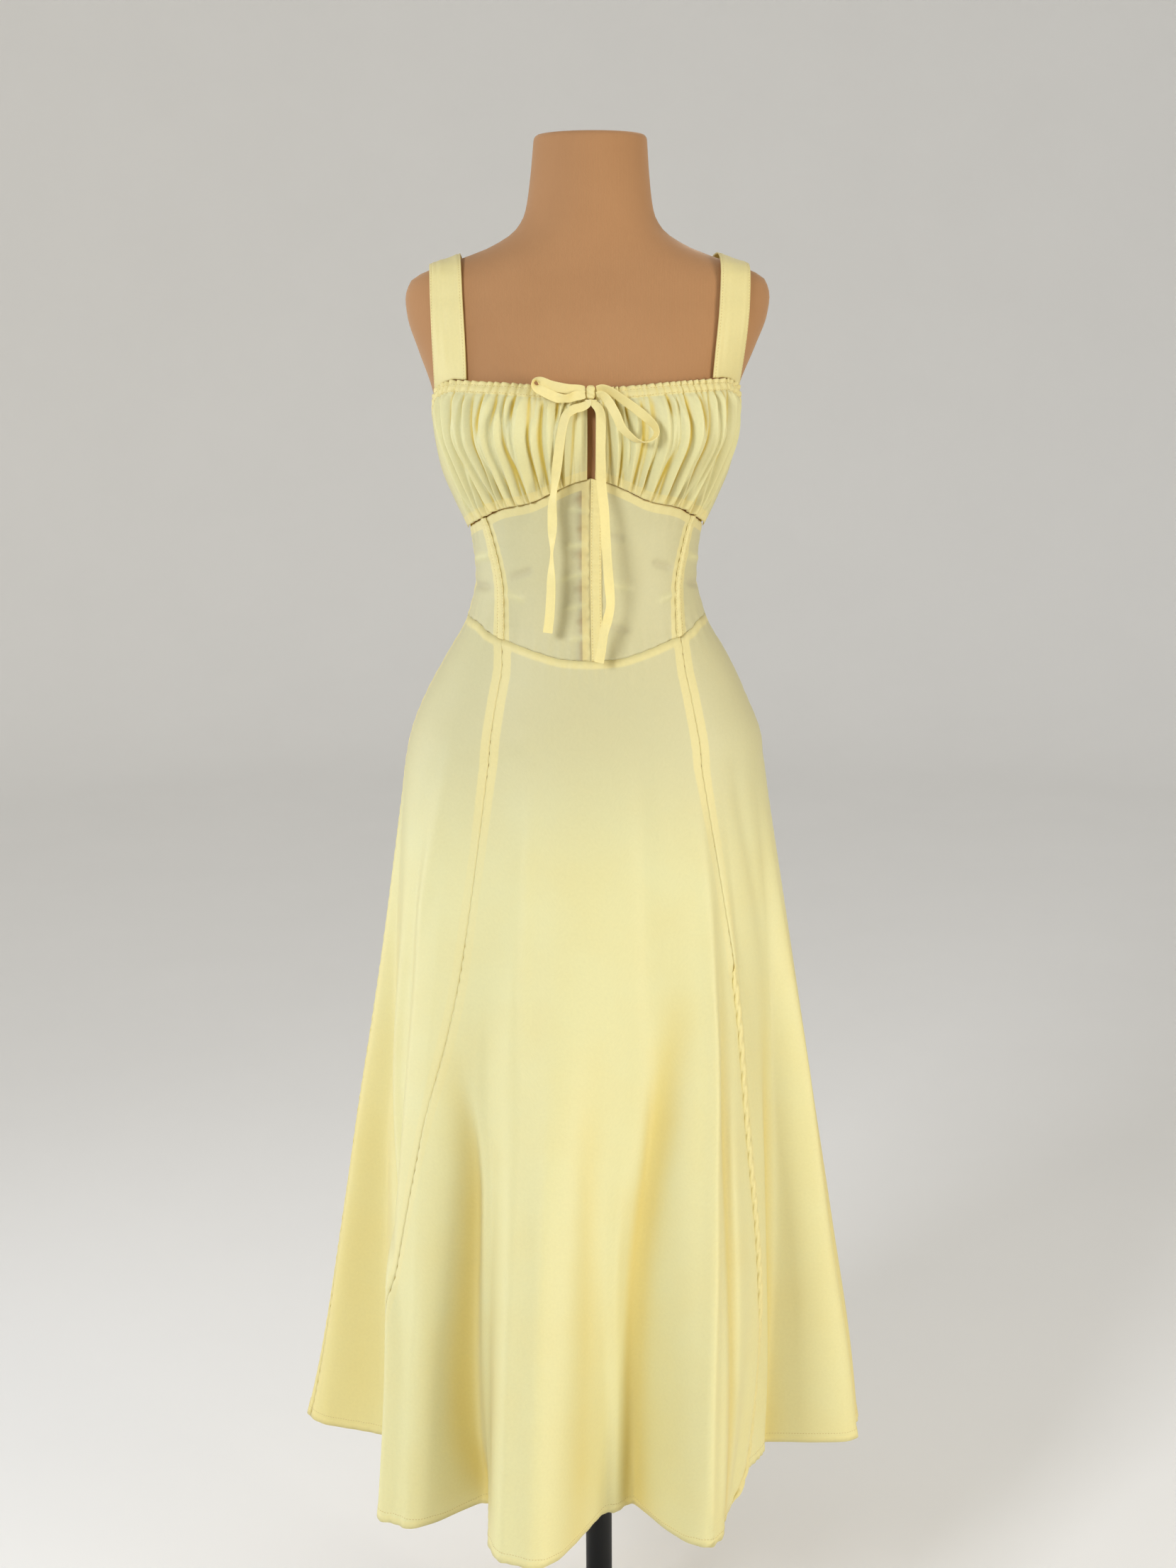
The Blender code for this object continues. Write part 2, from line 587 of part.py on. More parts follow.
def tape(name, route, look):
    """A stretch of the tie along its route."""
    places = [Vector((x, -(front_of(x, height) + TIE_STAND_OFF + off), height)) + SEAT
              for x, height, off in route]
    curve = bpy.data.curves.new(name, "CURVE")
    curve.dimensions = "3D"
    curve.bevel_depth = TIE_RADIUS
    curve.bevel_resolution = 2
    curve.use_fill_caps = True
    line = curve.splines.new("POLY")
    spots = smooth_route(places, ROUTE_STEP)
    line.points.add(len(spots) - 1)
    for target, spot in zip(line.points, spots):
        target.co = (*spot, 1.0)
    piece = bpy.data.objects.new(name, curve)
    curve.materials.append(look)
    bpy.data.collections[COLLECTION].objects.link(piece)
    return piece


def knot(look):
    """The bow's knot at the top of the slit."""
    shape = bmesh.new()
    bmesh.ops.create_cube(shape, size=1.0)
    for vert in shape.verts:
        vert.co = Vector([c * size for c, size in zip(vert.co, KNOT_SIZE)])
    bmesh.ops.bevel(shape, geom=shape.edges[:], offset=KNOT_BEVEL, segments=2, profile=0.5,
                    affect="EDGES")
    mesh = bpy.data.meshes.new("tie_knot")
    shape.to_mesh(mesh)
    shape.free()
    piece = finish("tie_knot", mesh, look)
    forward = front_of(0.0, KNOT_HEIGHT) + 0.5 * KNOT_SIZE[1] + KNOT_GAP
    piece.location = Vector((KNOT_ACROSS, -forward, KNOT_HEIGHT)) + SEAT
    return piece


def dress_form(look):
    """The limbless form, a smooth loft of its sections."""
    shape = bmesh.new()
    heights = FORM["height"]
    levels = [heights[0]]
    for low, high in zip(heights, heights[1:]):
        steps = math.ceil((high - low) / FORM_RING_STEP)
        levels += [low + (high - low) * (k + 1) / steps for k in range(steps)]
    rings = []
    for height in levels:
        angles = [-180 + 360 * k / FORM_SIDES for k in range(FORM_SIDES)]
        rings.append([shape.verts.new(point(a, height, form_radius(a, height))) for a in angles])
    top = levels[-1]
    angles = [-180 + 360 * k / FORM_SIDES for k in range(FORM_SIDES)]
    for inset, rise in ((0.35, 0.65), (1.0, 1.0)):
        rings.append([shape.verts.new(point(a, top + rise * FORM_TOP_BEVEL,
                                            form_radius(a, top) - inset * FORM_TOP_BEVEL))
                      for a in angles])
    for low, high in zip(rings, rings[1:]):
        for i in range(FORM_SIDES):
            j = (i + 1) % FORM_SIDES
            shape.faces.new((low[i], low[j], high[j], high[i]))
    shape.faces.new(rings[-1])
    shape.faces.new(list(reversed(rings[0])))
    mesh = bpy.data.meshes.new("form_torso")
    shape.to_mesh(mesh)
    shape.free()
    return finish("form_torso", mesh, look)


def turned(name, radius, low, high, look, bevel=0.0):
    """A round metal piece of the stand."""
    bpy.ops.mesh.primitive_cylinder_add(vertices=STAND_SIDES, radius=radius, depth=high - low,
                                        location=(0, 0, 0.5 * (low + high)))
    piece = bpy.context.object
    piece.name = piece.data.name = name
    for collection in list(piece.users_collection):
        collection.objects.unlink(piece)
    bpy.data.collections[COLLECTION].objects.link(piece)
    piece.data.materials.append(look)
    piece.data.shade_smooth()
    piece.data.set_sharp_from_angle(angle=math.radians(35))
    if bevel:
        rounding = piece.modifiers.new("edge", "BEVEL")
        rounding.width = bevel
        rounding.segments = 1
        rounding.limit_method = "ANGLE"
    return piece


def stand(look):
    """Round base, socket, pole and the flange that carries the form."""
    flange_top = FORM["height"][0] + SEAT.z - SEAM_GAP
    turned("stand_base", BASE_RADIUS, 0.0, BASE_THICKNESS, look, BASE_BEVEL)
    turned("stand_socket", SOCKET_RADIUS, BASE_THICKNESS + SEAM_GAP,
           BASE_THICKNESS + SOCKET_HEIGHT, look, SOCKET_BEVEL)
    pole_low = BASE_THICKNESS + SOCKET_HEIGHT + SEAM_GAP
    pole_high = flange_top - COLLAR_THICKNESS - SEAM_GAP
    turned("stand_pole", POLE_RADIUS, pole_low, pole_high, look)
    turned("stand_flange", COLLAR_RADIUS, flange_top - COLLAR_THICKNESS, flange_top, look, COLLAR_BEVEL)


def bodice(look):
    """Cups, midriff panels, back and straps."""
    def low(angle):
        return along(WAIST_SEAM, angle)

    def high(angle):
        return along(UNDERBUST, angle)

    for word, side in (("left", -1), ("right", 1)):
        cup(f"cup_{word}", side, look)
        strap(f"strap_{word}", side, look)
        edges = [lambda z: 0.0, lambda z, s=side: s * along(CHANNEL_LINE, z)]
        outer = [edges[1], lambda z, s=side: s * SIDE_SEAM]
        if side < 0:
            edges.reverse()
            outer.reverse()
        fitted_panel(f"midriff_front_{word}", *edges, low, high,
                     MIDRIFF_FRONT_COLUMNS, MIDRIFF_ROWS, look)
        fitted_panel(f"midriff_side_{word}", *outer, low, high,
                     MIDRIFF_SIDE_COLUMNS, MIDRIFF_ROWS, look)
        strip(f"channel_{word}", lambda z, s=side: s * along(CHANNEL_LINE, z), CHANNEL_WIDTH, look)
    shift = FRONT_STRIP_OFFSET / form_radius(0, MIDRIFF_MIDDLE)
    strip("front_strip", lambda z: math.degrees(shift), FRONT_STRIP_WIDTH, look)
    fitted_panel("bodice_back", lambda z: SIDE_SEAM, lambda z: 360 - SIDE_SEAM, low_back, top_back,
                 BACK_COLUMNS, BACK_ROWS, look)


def low_back(angle):
    """Lower edge of the back."""
    return along(WAIST_SEAM, abs(short_way(angle)))


def top_back(angle):
    """Upper edge of the back."""
    return along(TOP_EDGE, abs(short_way(angle)))


def skirt(look):
    """The skirt's front panel, two side panels and back."""
    def left_side(_):
        return -SIDE_SEAM

    def right_side(_):
        return SIDE_SEAM

    def to_left(line):
        return lambda height: line(height) - 360

    left_seam, slit_front, slit_side = [
        seam_line(pairs) for pairs in (LEFT_PANEL_SEAM, SLIT_FRONT_EDGE, SLIT_SIDE_EDGE)]
    skirt_panel("skirt_front", [left_seam, to_left(fold_line(7)), fold_line(9), slit_front],
                SKIRT_FRONT_COLUMNS, look)
    skirt_panel("skirt_side_left", [left_side, to_left(fold_line(4)), left_seam],
                SKIRT_LEFT_COLUMNS, look)
    skirt_panel("skirt_side_right", [slit_side, fold_line(12), right_side],
                SKIRT_RIGHT_COLUMNS, look)
    behind = [fold_line(row) for row in (13, 14, 15, 16, 0, 1, 2)]
    skirt_panel("skirt_back", [right_side, *behind, lambda _: 360 - SIDE_SEAM],
                SKIRT_BACK_COLUMNS, look)


def tie(look):
    """The tape's bow and its two hanging ends."""
    knot(look)
    tape("tie_loop_left", LOOP_LEFT, look)
    tape("tie_loop_right", LOOP_RIGHT, look)
    tape("tie_tail_left", TAIL_LEFT, look)
    tape("tie_tail_right", TAIL_RIGHT, look)


def main():
    for old in list(bpy.data.objects):
        bpy.data.objects.remove(old, do_unlink=True)
    bpy.context.scene.collection.children.link(bpy.data.collections.new(COLLECTION))
    yellow = material("pale_yellow_cotton", (0.80, 0.74, 0.40), 0.65)
    tan = material("tan_jersey", (0.42, 0.24, 0.12), 0.85)
    black = material("black_enamelled_steel", (0.012, 0.013, 0.014), 0.35, 0.6)
    dress_form(tan)
    stand(black)
    bodice(yellow)
    skirt(yellow)
    tie(yellow)


main()
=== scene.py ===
# Pale yellow cotton midi dress on a limbless form with a black pole stand, in metres.
# An angle goes round the form's upright axis: 0 is the centre front and +90 the side at +X.
import math

import bmesh
import bpy
import numpy as np
from mathutils import Matrix, Vector


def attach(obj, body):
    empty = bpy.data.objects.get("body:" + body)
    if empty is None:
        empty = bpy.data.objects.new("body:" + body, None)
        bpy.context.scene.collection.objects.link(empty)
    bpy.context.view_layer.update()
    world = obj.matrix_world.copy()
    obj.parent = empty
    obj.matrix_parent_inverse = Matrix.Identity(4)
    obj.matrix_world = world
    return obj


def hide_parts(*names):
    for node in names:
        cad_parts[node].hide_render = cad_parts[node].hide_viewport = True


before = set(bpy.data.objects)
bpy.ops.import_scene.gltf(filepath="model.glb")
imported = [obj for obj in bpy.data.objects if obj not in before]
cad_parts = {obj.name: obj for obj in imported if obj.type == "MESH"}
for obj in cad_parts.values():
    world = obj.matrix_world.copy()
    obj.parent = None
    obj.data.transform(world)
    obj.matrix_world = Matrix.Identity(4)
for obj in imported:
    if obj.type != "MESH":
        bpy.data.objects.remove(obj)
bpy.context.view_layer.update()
print("frame loaded")

seat = np.array((-0.008, 0.0, 0.070))  # where the form's axis and datum stand over the base
collection = bpy.data.collections.new("dressScene")
bpy.context.scene.collection.children.link(collection)


# ---- helpers


def smoothCurve(xs, ys):
    # a smooth curve through a table's points that never overshoots, for whole arrays at once
    xs, ys = np.array(xs, float), np.array(ys, float)
    steps = np.diff(xs)
    slopes = np.diff(ys) / steps
    tangents = np.concatenate([slopes[:1], np.zeros(len(xs) - 2), slopes[-1:]])
    for k in range(1, len(xs) - 1):
        if slopes[k - 1] * slopes[k] > 0:
            w1, w2 = 2 * steps[k] + steps[k - 1], steps[k] + 2 * steps[k - 1]
            tangents[k] = (w1 + w2) / (w1 / slopes[k - 1] + w2 / slopes[k])

    def value(x):
        x = np.clip(x, xs[0], xs[-1])
        i = np.clip(np.searchsorted(xs, x, side="right") - 1, 0, len(xs) - 2)
        t = (x - xs[i]) / steps[i]
        return ((2 * t**3 - 3 * t**2 + 1) * ys[i] + (t**3 - 2 * t**2 + t) * steps[i] * tangents[i]
                + (3 * t**2 - 2 * t**3) * ys[i + 1] + (t**3 - t**2) * steps[i] * tangents[i + 1])

    return value


def tableCurves(names, rows):
    columns = list(zip(*rows))
    return {name: smoothCurve(columns[0], columns[i]) for i, name in enumerate(names)}


def pairCurve(pairs):
    return smoothCurve(*zip(*pairs))


def smoothStep(t):
    t = np.clip(t, 0.0, 1.0)
    return t * t * (3 - 2 * t)


def shortWay(angle):
    return (angle + 180) % 360 - 180


def unit(vectors):
    return vectors / np.linalg.norm(vectors, axis=-1, keepdims=True)


def lengthAlong(line):
    # how far along the line each of its points is
    return np.concatenate([[0], np.cumsum(np.linalg.norm(np.diff(line, axis=0), axis=1))])


# ---- shape of the form and the fitted cloth

formColumns = ("height", "half", "front", "back", "square")
formRows = [
    (0.850, 0.1700, 0.098, 0.118, 2.2), (0.944, 0.1770, 0.105, 0.128, 2.2),
    (1.000, 0.1755, 0.104, 0.127, 2.2), (1.058, 0.1555, 0.098, 0.110, 2.2),
    (1.095, 0.1385, 0.093, 0.096, 2.2), (1.137, 0.1170, 0.088, 0.082, 2.2),
    (1.177, 0.1085, 0.085, 0.077, 2.2), (1.223, 0.1130, 0.087, 0.080, 2.2),
    (1.253, 0.1215, 0.091, 0.084, 2.2), (1.284, 0.1325, 0.096, 0.089, 2.2),
    (1.320, 0.1420, 0.103, 0.095, 2.3), (1.365, 0.1530, 0.105, 0.099, 2.3),
    (1.401, 0.1670, 0.099, 0.096, 2.2), (1.434, 0.1785, 0.088, 0.088, 2.1),
    (1.4505, 0.1805, 0.081, 0.082, 2.0), (1.467, 0.1755, 0.074, 0.075, 2.0),
    (1.476, 0.1620, 0.070, 0.071, 2.0), (1.4855, 0.1350, 0.067, 0.067, 2.0),
    (1.500, 0.0965, 0.064, 0.062, 2.0), (1.516, 0.0725, 0.063, 0.057, 2.0),
    (1.532, 0.0635, 0.063, 0.054, 2.0), (1.565, 0.0585, 0.062, 0.050, 2.0),
    (1.600, 0.0555, 0.060, 0.046, 2.0),
]
formCurve = tableCurves(formColumns, formRows)
leanCurve = pairCurve(((1.360, 0.0), (1.450, 0.0035), (1.606, 0.0065)))
bustShape = {"angle": 37.0, "height": 1.325, "spread": 23.0, "tall": 0.047, "out": 0.017}
bodiceEase = 0.0035
formBottom = formRows[0][0]


def section(angle, side, depth, square):
    turn = np.radians(angle)
    return ((np.abs(np.sin(turn)) / side)**square + (np.abs(np.cos(turn)) / depth)**square) ** (-1 / square)


def formRadius(angle, height):
    angle = shortWay(angle)
    depth = np.where(np.abs(angle) < 90, formCurve["front"](height), formCurve["back"](height))
    spread = (np.abs(angle) - bustShape["angle"]) / bustShape["spread"]
    tall = (height - bustShape["height"]) / bustShape["tall"]
    return (section(angle, formCurve["half"](height), depth, formCurve["square"](height))
            + bustShape["out"] * np.exp(-spread**2 - tall**2))


def bodiceRadius(angle, height):
    return formRadius(angle, height) + bodiceEase


def place(angle, height, radius):
    turn = np.radians(angle)
    across = radius * np.sin(turn) + leanCurve(height)
    return np.stack([across, -radius * np.cos(turn), height + 0 * across], -1) + seat


# ---- seams, shared by the bodice and the skirt

seamGap = 0.00004  # the solids keep 0.3 mm, the sewn cloth meets
topEdge = pairCurve(((0.0, 1.3650), (20.0, 1.3680), (40.0, 1.3715), (60.0, 1.3730), (68.0, 1.3690),
                     (80.0, 1.3500), (90.0, 1.3200), (108.0, 1.3240), (128.0, 1.3460),
                     (142.0, 1.3520), (180.0, 1.3520)))
underBust = pairCurve(((0.0, 1.2797), (9.0, 1.2755), (21.0, 1.2660), (32.0, 1.2565), (50.0, 1.2485),
                       (62.0, 1.2395), (75.0, 1.2315), (90.0, 1.2245)))
waistSeam = pairCurve(((0.0, 1.1012), (16.0, 1.1028), (31.0, 1.1095), (45.0, 1.1180), (60.0, 1.1265),
                       (70.0, 1.1345), (90.0, 1.1375), (180.0, 1.1350)))
channelLine = pairCurve(((1.115, 51.0), (1.180, 57.0), (1.245, 64.0)))
leftPanelSeam = pairCurve(((0.255, -55.0), (0.450, -53.0), (0.630, -51.0), (0.800, -48.0),
                           (1.030, -47.8), (1.085, -47.5), (1.130, -52.0)))
slitFront = pairCurve(((0.255, 30.0), (0.290, 36.5), (0.360, 41.5), (0.430, 44.5), (0.520, 46.5),
                       (0.620, 47.5), (0.793, 51.0), (0.950, 50.5), (1.080, 50.0), (1.130, 53.0)))
slitSide = pairCurve(((0.255, 46.5), (0.290, 46.8), (0.360, 47.0), (0.430, 47.5), (0.520, 48.0),
                      (0.620, 48.6), (0.793, 51.0), (0.950, 50.5), (1.080, 50.0), (1.130, 53.0)))
slitTop = 0.793

seamLook = {
    "dip": 0.0004,  # how deep a seam's line lies
    "dipWidth": 0.0009,
    "pucker": 0.0004,  # height of the small waves that the stitching draws up
    "puckerStep": 0.0125,
    "puckerReach": 0.012,
}


def seamDip(gap, along, phase):
    # the groove of a seam, and the puckers beside it, by distance from it and place along it
    wave = np.sin(2 * math.pi * along / seamLook["puckerStep"] + phase + 1.3 * np.sin(along * 61 + phase))
    return (-seamLook["dip"] * np.exp(-(gap / seamLook["dipWidth"])**2)
            + seamLook["pucker"] * wave * np.exp(-gap / seamLook["puckerReach"]))


def creaseField(rows, angle, height, radius):
    # soft troughs and ridges: each row runs from one place to another, with a width and a depth
    total = np.zeros(np.broadcast(angle, height).shape)
    for angle0, height0, angle1, height1, width, depth in rows:
        reach = np.radians(1.0) * radius
        x, y = (angle - angle0) * reach, height - height0
        dx, dy = (angle1 - angle0) * reach, height1 - height0
        t = (x * dx + y * dy) / (dx * dx + dy * dy)
        away = np.abs(x * dy - y * dx) / np.sqrt(dx * dx + dy * dy)
        grow = smoothStep((t + 0.12) / 0.4) * smoothStep((1.12 - t) / 0.4)
        total += depth * grow * np.exp(-(away / width)**2)
    return total


# ---- materials


def srgb(code):
    # sRGB hex to linear colour
    parts = [int(code[i:i + 2], 16) / 255 for i in (1, 3, 5)]
    return (*[c / 12.92 if c <= 0.04045 else ((c + 0.055) / 1.055)**2.4 for c in parts], 1.0)


def addNode(tree, kind, values=None, links=None, **props):
    made = tree.nodes.new("ShaderNode" + kind)
    for key, value in props.items():
        setattr(made, key, value)
    for key, value in (values or {}).items():
        made.inputs[key].default_value = value
    for key, source in (links or {}).items():
        tree.links.new(source, made.inputs[key])
    return made


def mixColours(tree, factor, first, second):
    # each colour is either a fixed value or a socket
    mix = addNode(tree, "Mix", links={0: factor}, data_type="RGBA")
    for slot, colour in ((6, first), (7, second)):
        if isinstance(colour, bpy.types.NodeSocket):
            tree.links.new(colour, mix.inputs[slot])
        else:
            mix.inputs[slot].default_value = colour
    return mix.outputs[2]


def newMaterial(name):
    made = bpy.data.materials.new(name)
    made.use_nodes = True
    made.node_tree.nodes.clear()
    return made, made.node_tree


cottonLook = {
    "lit": "#eaecb9",  # cloth with light behind it
    "shade": "#e9e2a2",  # slow patches where the cloth is thinner
    "overForm": "#d2d1aa",  # the tan cover shows through the thin cloth; on the fitted panels this colour is also painted shade in the crease troughs
    "darkest": "#ad946a",  # the darkest: painted shade at the bottom of the midriff's crease troughs, and a brown band beside the centre seam
    "double": "#f4ecaa",  # two layers at a seam allowance or hem
    "deep": "#e6d060",  # painted shade: a deeper warm yellow down in a fold, for the light the yellow cloth bounces on itself
    "foldShadeShare": 0.58,
    "through": "#f7df78",  # light that comes through
    "threadStep": 0.0009,  # real threads are 0.2 mm apart, drawn coarser so that they show
    "roughness": 0.50,
    "sheen": 0.18,
    "letThrough": 0.36,
    "allowance": 0.009,
    "hem": 0.011,
}


def cottonSateen():
    # thin woven cotton with a smooth face: a soft sheen, and light and layers show through it
    look = cottonLook
    made, tree = newMaterial("cottonSateen")
    uv = addNode(tree, "UVMap", uv_map="threads")
    coords = addNode(tree, "TexCoord")
    rate = 2 * math.pi / (20 * look["threadStep"])
    warp = addNode(tree, "TexWave", {"Scale": rate, "Distortion": 0.4, "Detail": 1.0},
                   {"Vector": uv.outputs["UV"]}, bands_direction="X")
    weft = addNode(tree, "TexWave", {"Scale": rate * 0.8, "Distortion": 0.6, "Detail": 1.0},
                   {"Vector": uv.outputs["UV"]}, bands_direction="Y")
    weave = addNode(tree, "Math", links={0: warp.outputs["Fac"], 1: weft.outputs["Fac"]},
                    operation="MULTIPLY")
    slow = addNode(tree, "TexNoise", {"Scale": 16.0, "Detail": 3.0, "Roughness": 0.5},
                   {"Vector": coords.outputs["Object"]})
    slub = addNode(tree, "TexNoise", {"Scale": 320.0, "Detail": 2.0, "Roughness": 0.6},
                   {"Vector": uv.outputs["UV"]})
    patch = addNode(tree, "MapRange", {"From Min": 0.35, "From Max": 0.75, "To Max": 0.32},
                    {"Value": slow.outputs["Fac"]})
    cloth = mixColours(tree, patch.outputs["Result"], srgb(look["lit"]), srgb(look["shade"]))
    # how much of the form shows through; on the fitted panels it also carries painted highlight on crease
    # ridges and painted shade in their troughs, and past 1 it turns to the darkest colour
    over = addNode(tree, "Attribute", attribute_name="overForm")
    cloth = mixColours(tree, over.outputs["Fac"], cloth, srgb(look["overForm"]))
    darkestShare = addNode(tree, "Math", {1: 1.0}, {0: over.outputs["Fac"]}, operation="SUBTRACT", use_clamp=True)
    cloth = mixColours(tree, darkestShare.outputs["Value"], cloth, srgb(look["darkest"]))
    # painted shade and glow: fold troughs, and the skirt's two sides, mix towards the deep fold colour
    valley = addNode(tree, "Attribute", attribute_name="valley")
    fall = addNode(tree, "Math", {1: look["foldShadeShare"]}, {0: valley.outputs["Fac"]}, operation="MULTIPLY",
                   use_clamp=True)
    cloth = mixColours(tree, fall.outputs["Value"], cloth, srgb(look["deep"]))
    layers = addNode(tree, "Attribute", attribute_name="layers")
    band = addNode(tree, "MapRange", {"From Min": 0.35, "From Max": 0.65, "To Max": 0.72},
                   {"Value": layers.outputs["Fac"]})
    cloth = mixColours(tree, band.outputs["Result"], cloth, srgb(look["double"]))
    fleck = addNode(tree, "MapRange", {"From Min": 0.2, "From Max": 0.8, "To Min": 0.96, "To Max": 1.03},
                    {"Value": slub.outputs["Fac"]})
    cloth = addNode(tree, "VectorMath", links={0: cloth, 1: fleck.outputs["Result"]},
                    operation="MULTIPLY")
    raised = addNode(tree, "Math", {1: 0.35}, {0: weave.outputs["Value"], 2: slub.outputs["Fac"]},
                     operation="MULTIPLY_ADD")
    bump = addNode(tree, "Bump", {"Strength": 0.16, "Distance": 0.0004},
                   {"Height": raised.outputs["Value"]})
    face = addNode(tree, "BsdfPrincipled",
                   {"Roughness": look["roughness"], "Sheen Weight": look["sheen"],
                    "Sheen Roughness": 0.45, "Specular IOR Level": 0.35, "IOR": 1.53},
                   {"Base Color": cloth.outputs["Vector"], "Normal": bump.outputs["Normal"]})
    back = addNode(tree, "BsdfTranslucent", {"Color": srgb(look["through"])},
                   {"Normal": bump.outputs["Normal"]})
    both = addNode(tree, "MixShader", {0: look["letThrough"]},
                   {1: face.outputs["BSDF"], 2: back.outputs["BSDF"]})
    addNode(tree, "OutputMaterial", links={"Surface": both.outputs["Shader"]})
    return made


jerseyLook = {"cover": "#a97f57", "deep": "#9a7049", "ribStep": 0.0016, "roughness": 0.85, "sheen": 0.5}


def knitJersey():
    # stretch jersey over a padded shell: fine upright ribs and a pale fuzz at grazing angles
    look = jerseyLook
    made, tree = newMaterial("knitJersey")
    uv = addNode(tree, "UVMap", uv_map="threads")
    coords = addNode(tree, "TexCoord")
    ribs = addNode(tree, "TexWave", {"Scale": 2 * math.pi / (20 * look["ribStep"]), "Distortion": 0.5},
                   {"Vector": uv.outputs["UV"]}, bands_direction="X")
    slow = addNode(tree, "TexNoise", {"Scale": 9.0, "Detail": 4.0}, {"Vector": coords.outputs["Object"]})
    fuzz = addNode(tree, "TexNoise", {"Scale": 900.0, "Detail": 2.0}, {"Vector": coords.outputs["Object"]})
    tone = mixColours(tree, slow.outputs["Fac"], srgb(look["cover"]), srgb(look["deep"]))
    height = addNode(tree, "Math", links={0: ribs.outputs["Fac"], 1: fuzz.outputs["Fac"]},
                     operation="ADD")
    bump = addNode(tree, "Bump", {"Strength": 0.25, "Distance": 0.0003},
                   {"Height": height.outputs["Value"]})
    face = addNode(tree, "BsdfPrincipled",
                   {"Roughness": look["roughness"], "Sheen Weight": look["sheen"], "Sheen Roughness": 0.35,
                    "Sheen Tint": srgb("#e6d3bd"), "Specular IOR Level": 0.25},
                   {"Base Color": tone, "Normal": bump.outputs["Normal"]})
    addNode(tree, "OutputMaterial", links={"Surface": face.outputs["BSDF"]})
    return made


enamelLook = {"black": "#020303", "worn": "#060708", "roughness": (0.38, 0.52)}


def blackEnamel():
    # baked enamel on steel tube: near black with a soft gloss and a faint orange-peel
    look = enamelLook
    made, tree = newMaterial("blackEnamel")
    coords = addNode(tree, "TexCoord")
    peel = addNode(tree, "TexNoise", {"Scale": 700.0, "Detail": 1.0}, {"Vector": coords.outputs["Object"]})
    slow = addNode(tree, "TexNoise", {"Scale": 24.0, "Detail": 3.0}, {"Vector": coords.outputs["Object"]})
    tone = mixColours(tree, slow.outputs["Fac"], srgb(look["black"]), srgb(look["worn"]))
    rough = addNode(tree, "MapRange", {"To Min": look["roughness"][0], "To Max": look["roughness"][1]},
                    {"Value": slow.outputs["Fac"]})
    bump = addNode(tree, "Bump", {"Strength": 0.08, "Distance": 0.0002},
                   {"Height": peel.outputs["Fac"]})
    face = addNode(tree, "BsdfPrincipled", {"Specular IOR Level": 0.3},
                   {"Base Color": tone, "Roughness": rough.outputs["Result"],
                    "Normal": bump.outputs["Normal"]})
    addNode(tree, "OutputMaterial", links={"Surface": face.outputs["BSDF"]})
    return made


def paintedWall(colour):
    # matt emulsion: even, with the slightest roller mottle
    made, tree = newMaterial("paintedWall")
    coords = addNode(tree, "TexCoord")
    mottle = addNode(tree, "TexNoise", {"Scale": 3.0, "Detail": 2.0}, {"Vector": coords.outputs["Object"]})
    dim = tuple(c * 0.97 for c in srgb(colour)[:3]) + (1.0,)
    tone = mixColours(tree, mottle.outputs["Fac"], srgb(colour), dim)
    face = addNode(tree, "BsdfPrincipled", {"Roughness": 0.95, "Specular IOR Level": 0.1},
                   {"Base Color": tone})
    addNode(tree, "OutputMaterial", links={"Surface": face.outputs["BSDF"]})
    return made


cotton, jersey, enamel = cottonSateen(), knitJersey(), blackEnamel()
print("materials made")


# ---- camera, as the photograph was taken

cameraView = {"lens": 50.45, "distance": 2.23, "height": 1.43, "pitch": 11.95, "roll": -0.33,
              "yaw": -3.0, "shift": 0.0006}


def makeCamera():
    view = cameraView
    pitch, roll, yaw = (math.radians(view[key]) for key in ("pitch", "roll", "yaw"))
    level = Vector((math.sin(-yaw), math.cos(-yaw), 0))
    right = Vector((math.cos(-yaw), -math.sin(-yaw), 0))
    ahead = level * math.cos(pitch) - Vector((0, 0, 1)) * math.sin(pitch)
    above = level * math.sin(pitch) + Vector((0, 0, 1)) * math.cos(pitch)
    turned = right * math.cos(roll) + above * math.sin(roll)
    upward = above * math.cos(roll) - right * math.sin(roll)
    spot = -level * view["distance"] + right * view["shift"] + Vector((0, 0, view["height"]))
    data = bpy.data.cameras.new("studioCamera")
    data.lens, data.sensor_width = view["lens"], 36.0
    data.clip_start, data.clip_end = 0.05, 60.0
    camera = bpy.data.objects.new("studioCamera", data)
    basis = Matrix((turned, upward, -ahead)).transposed().to_4x4()
    camera.matrix_world = Matrix.Translation(spot + Vector(seat)) @ basis
    collection.objects.link(camera)
    bpy.context.scene.camera = camera


makeCamera()


# ---- cloth


def markPoints(mesh, marks):
    # a number for each point, for the materials to read
    for key, values in marks.items():
        layer = mesh.attributes.new(key, "FLOAT", "POINT")
        layer.data.foreach_set("value", np.broadcast_to(values, len(mesh.vertices)).astype(np.float32))


def layThreads(mesh, flat):
    # a UV map in metres along the threads, from each point's place in the flat cloth
    layer = mesh.uv_layers.new(name="threads")
    loops = np.empty(len(mesh.loops), int)
    mesh.loops.foreach_get("vertex_index", loops)
    layer.data.foreach_set("uv", flat[loops].astype(np.float32).ravel())


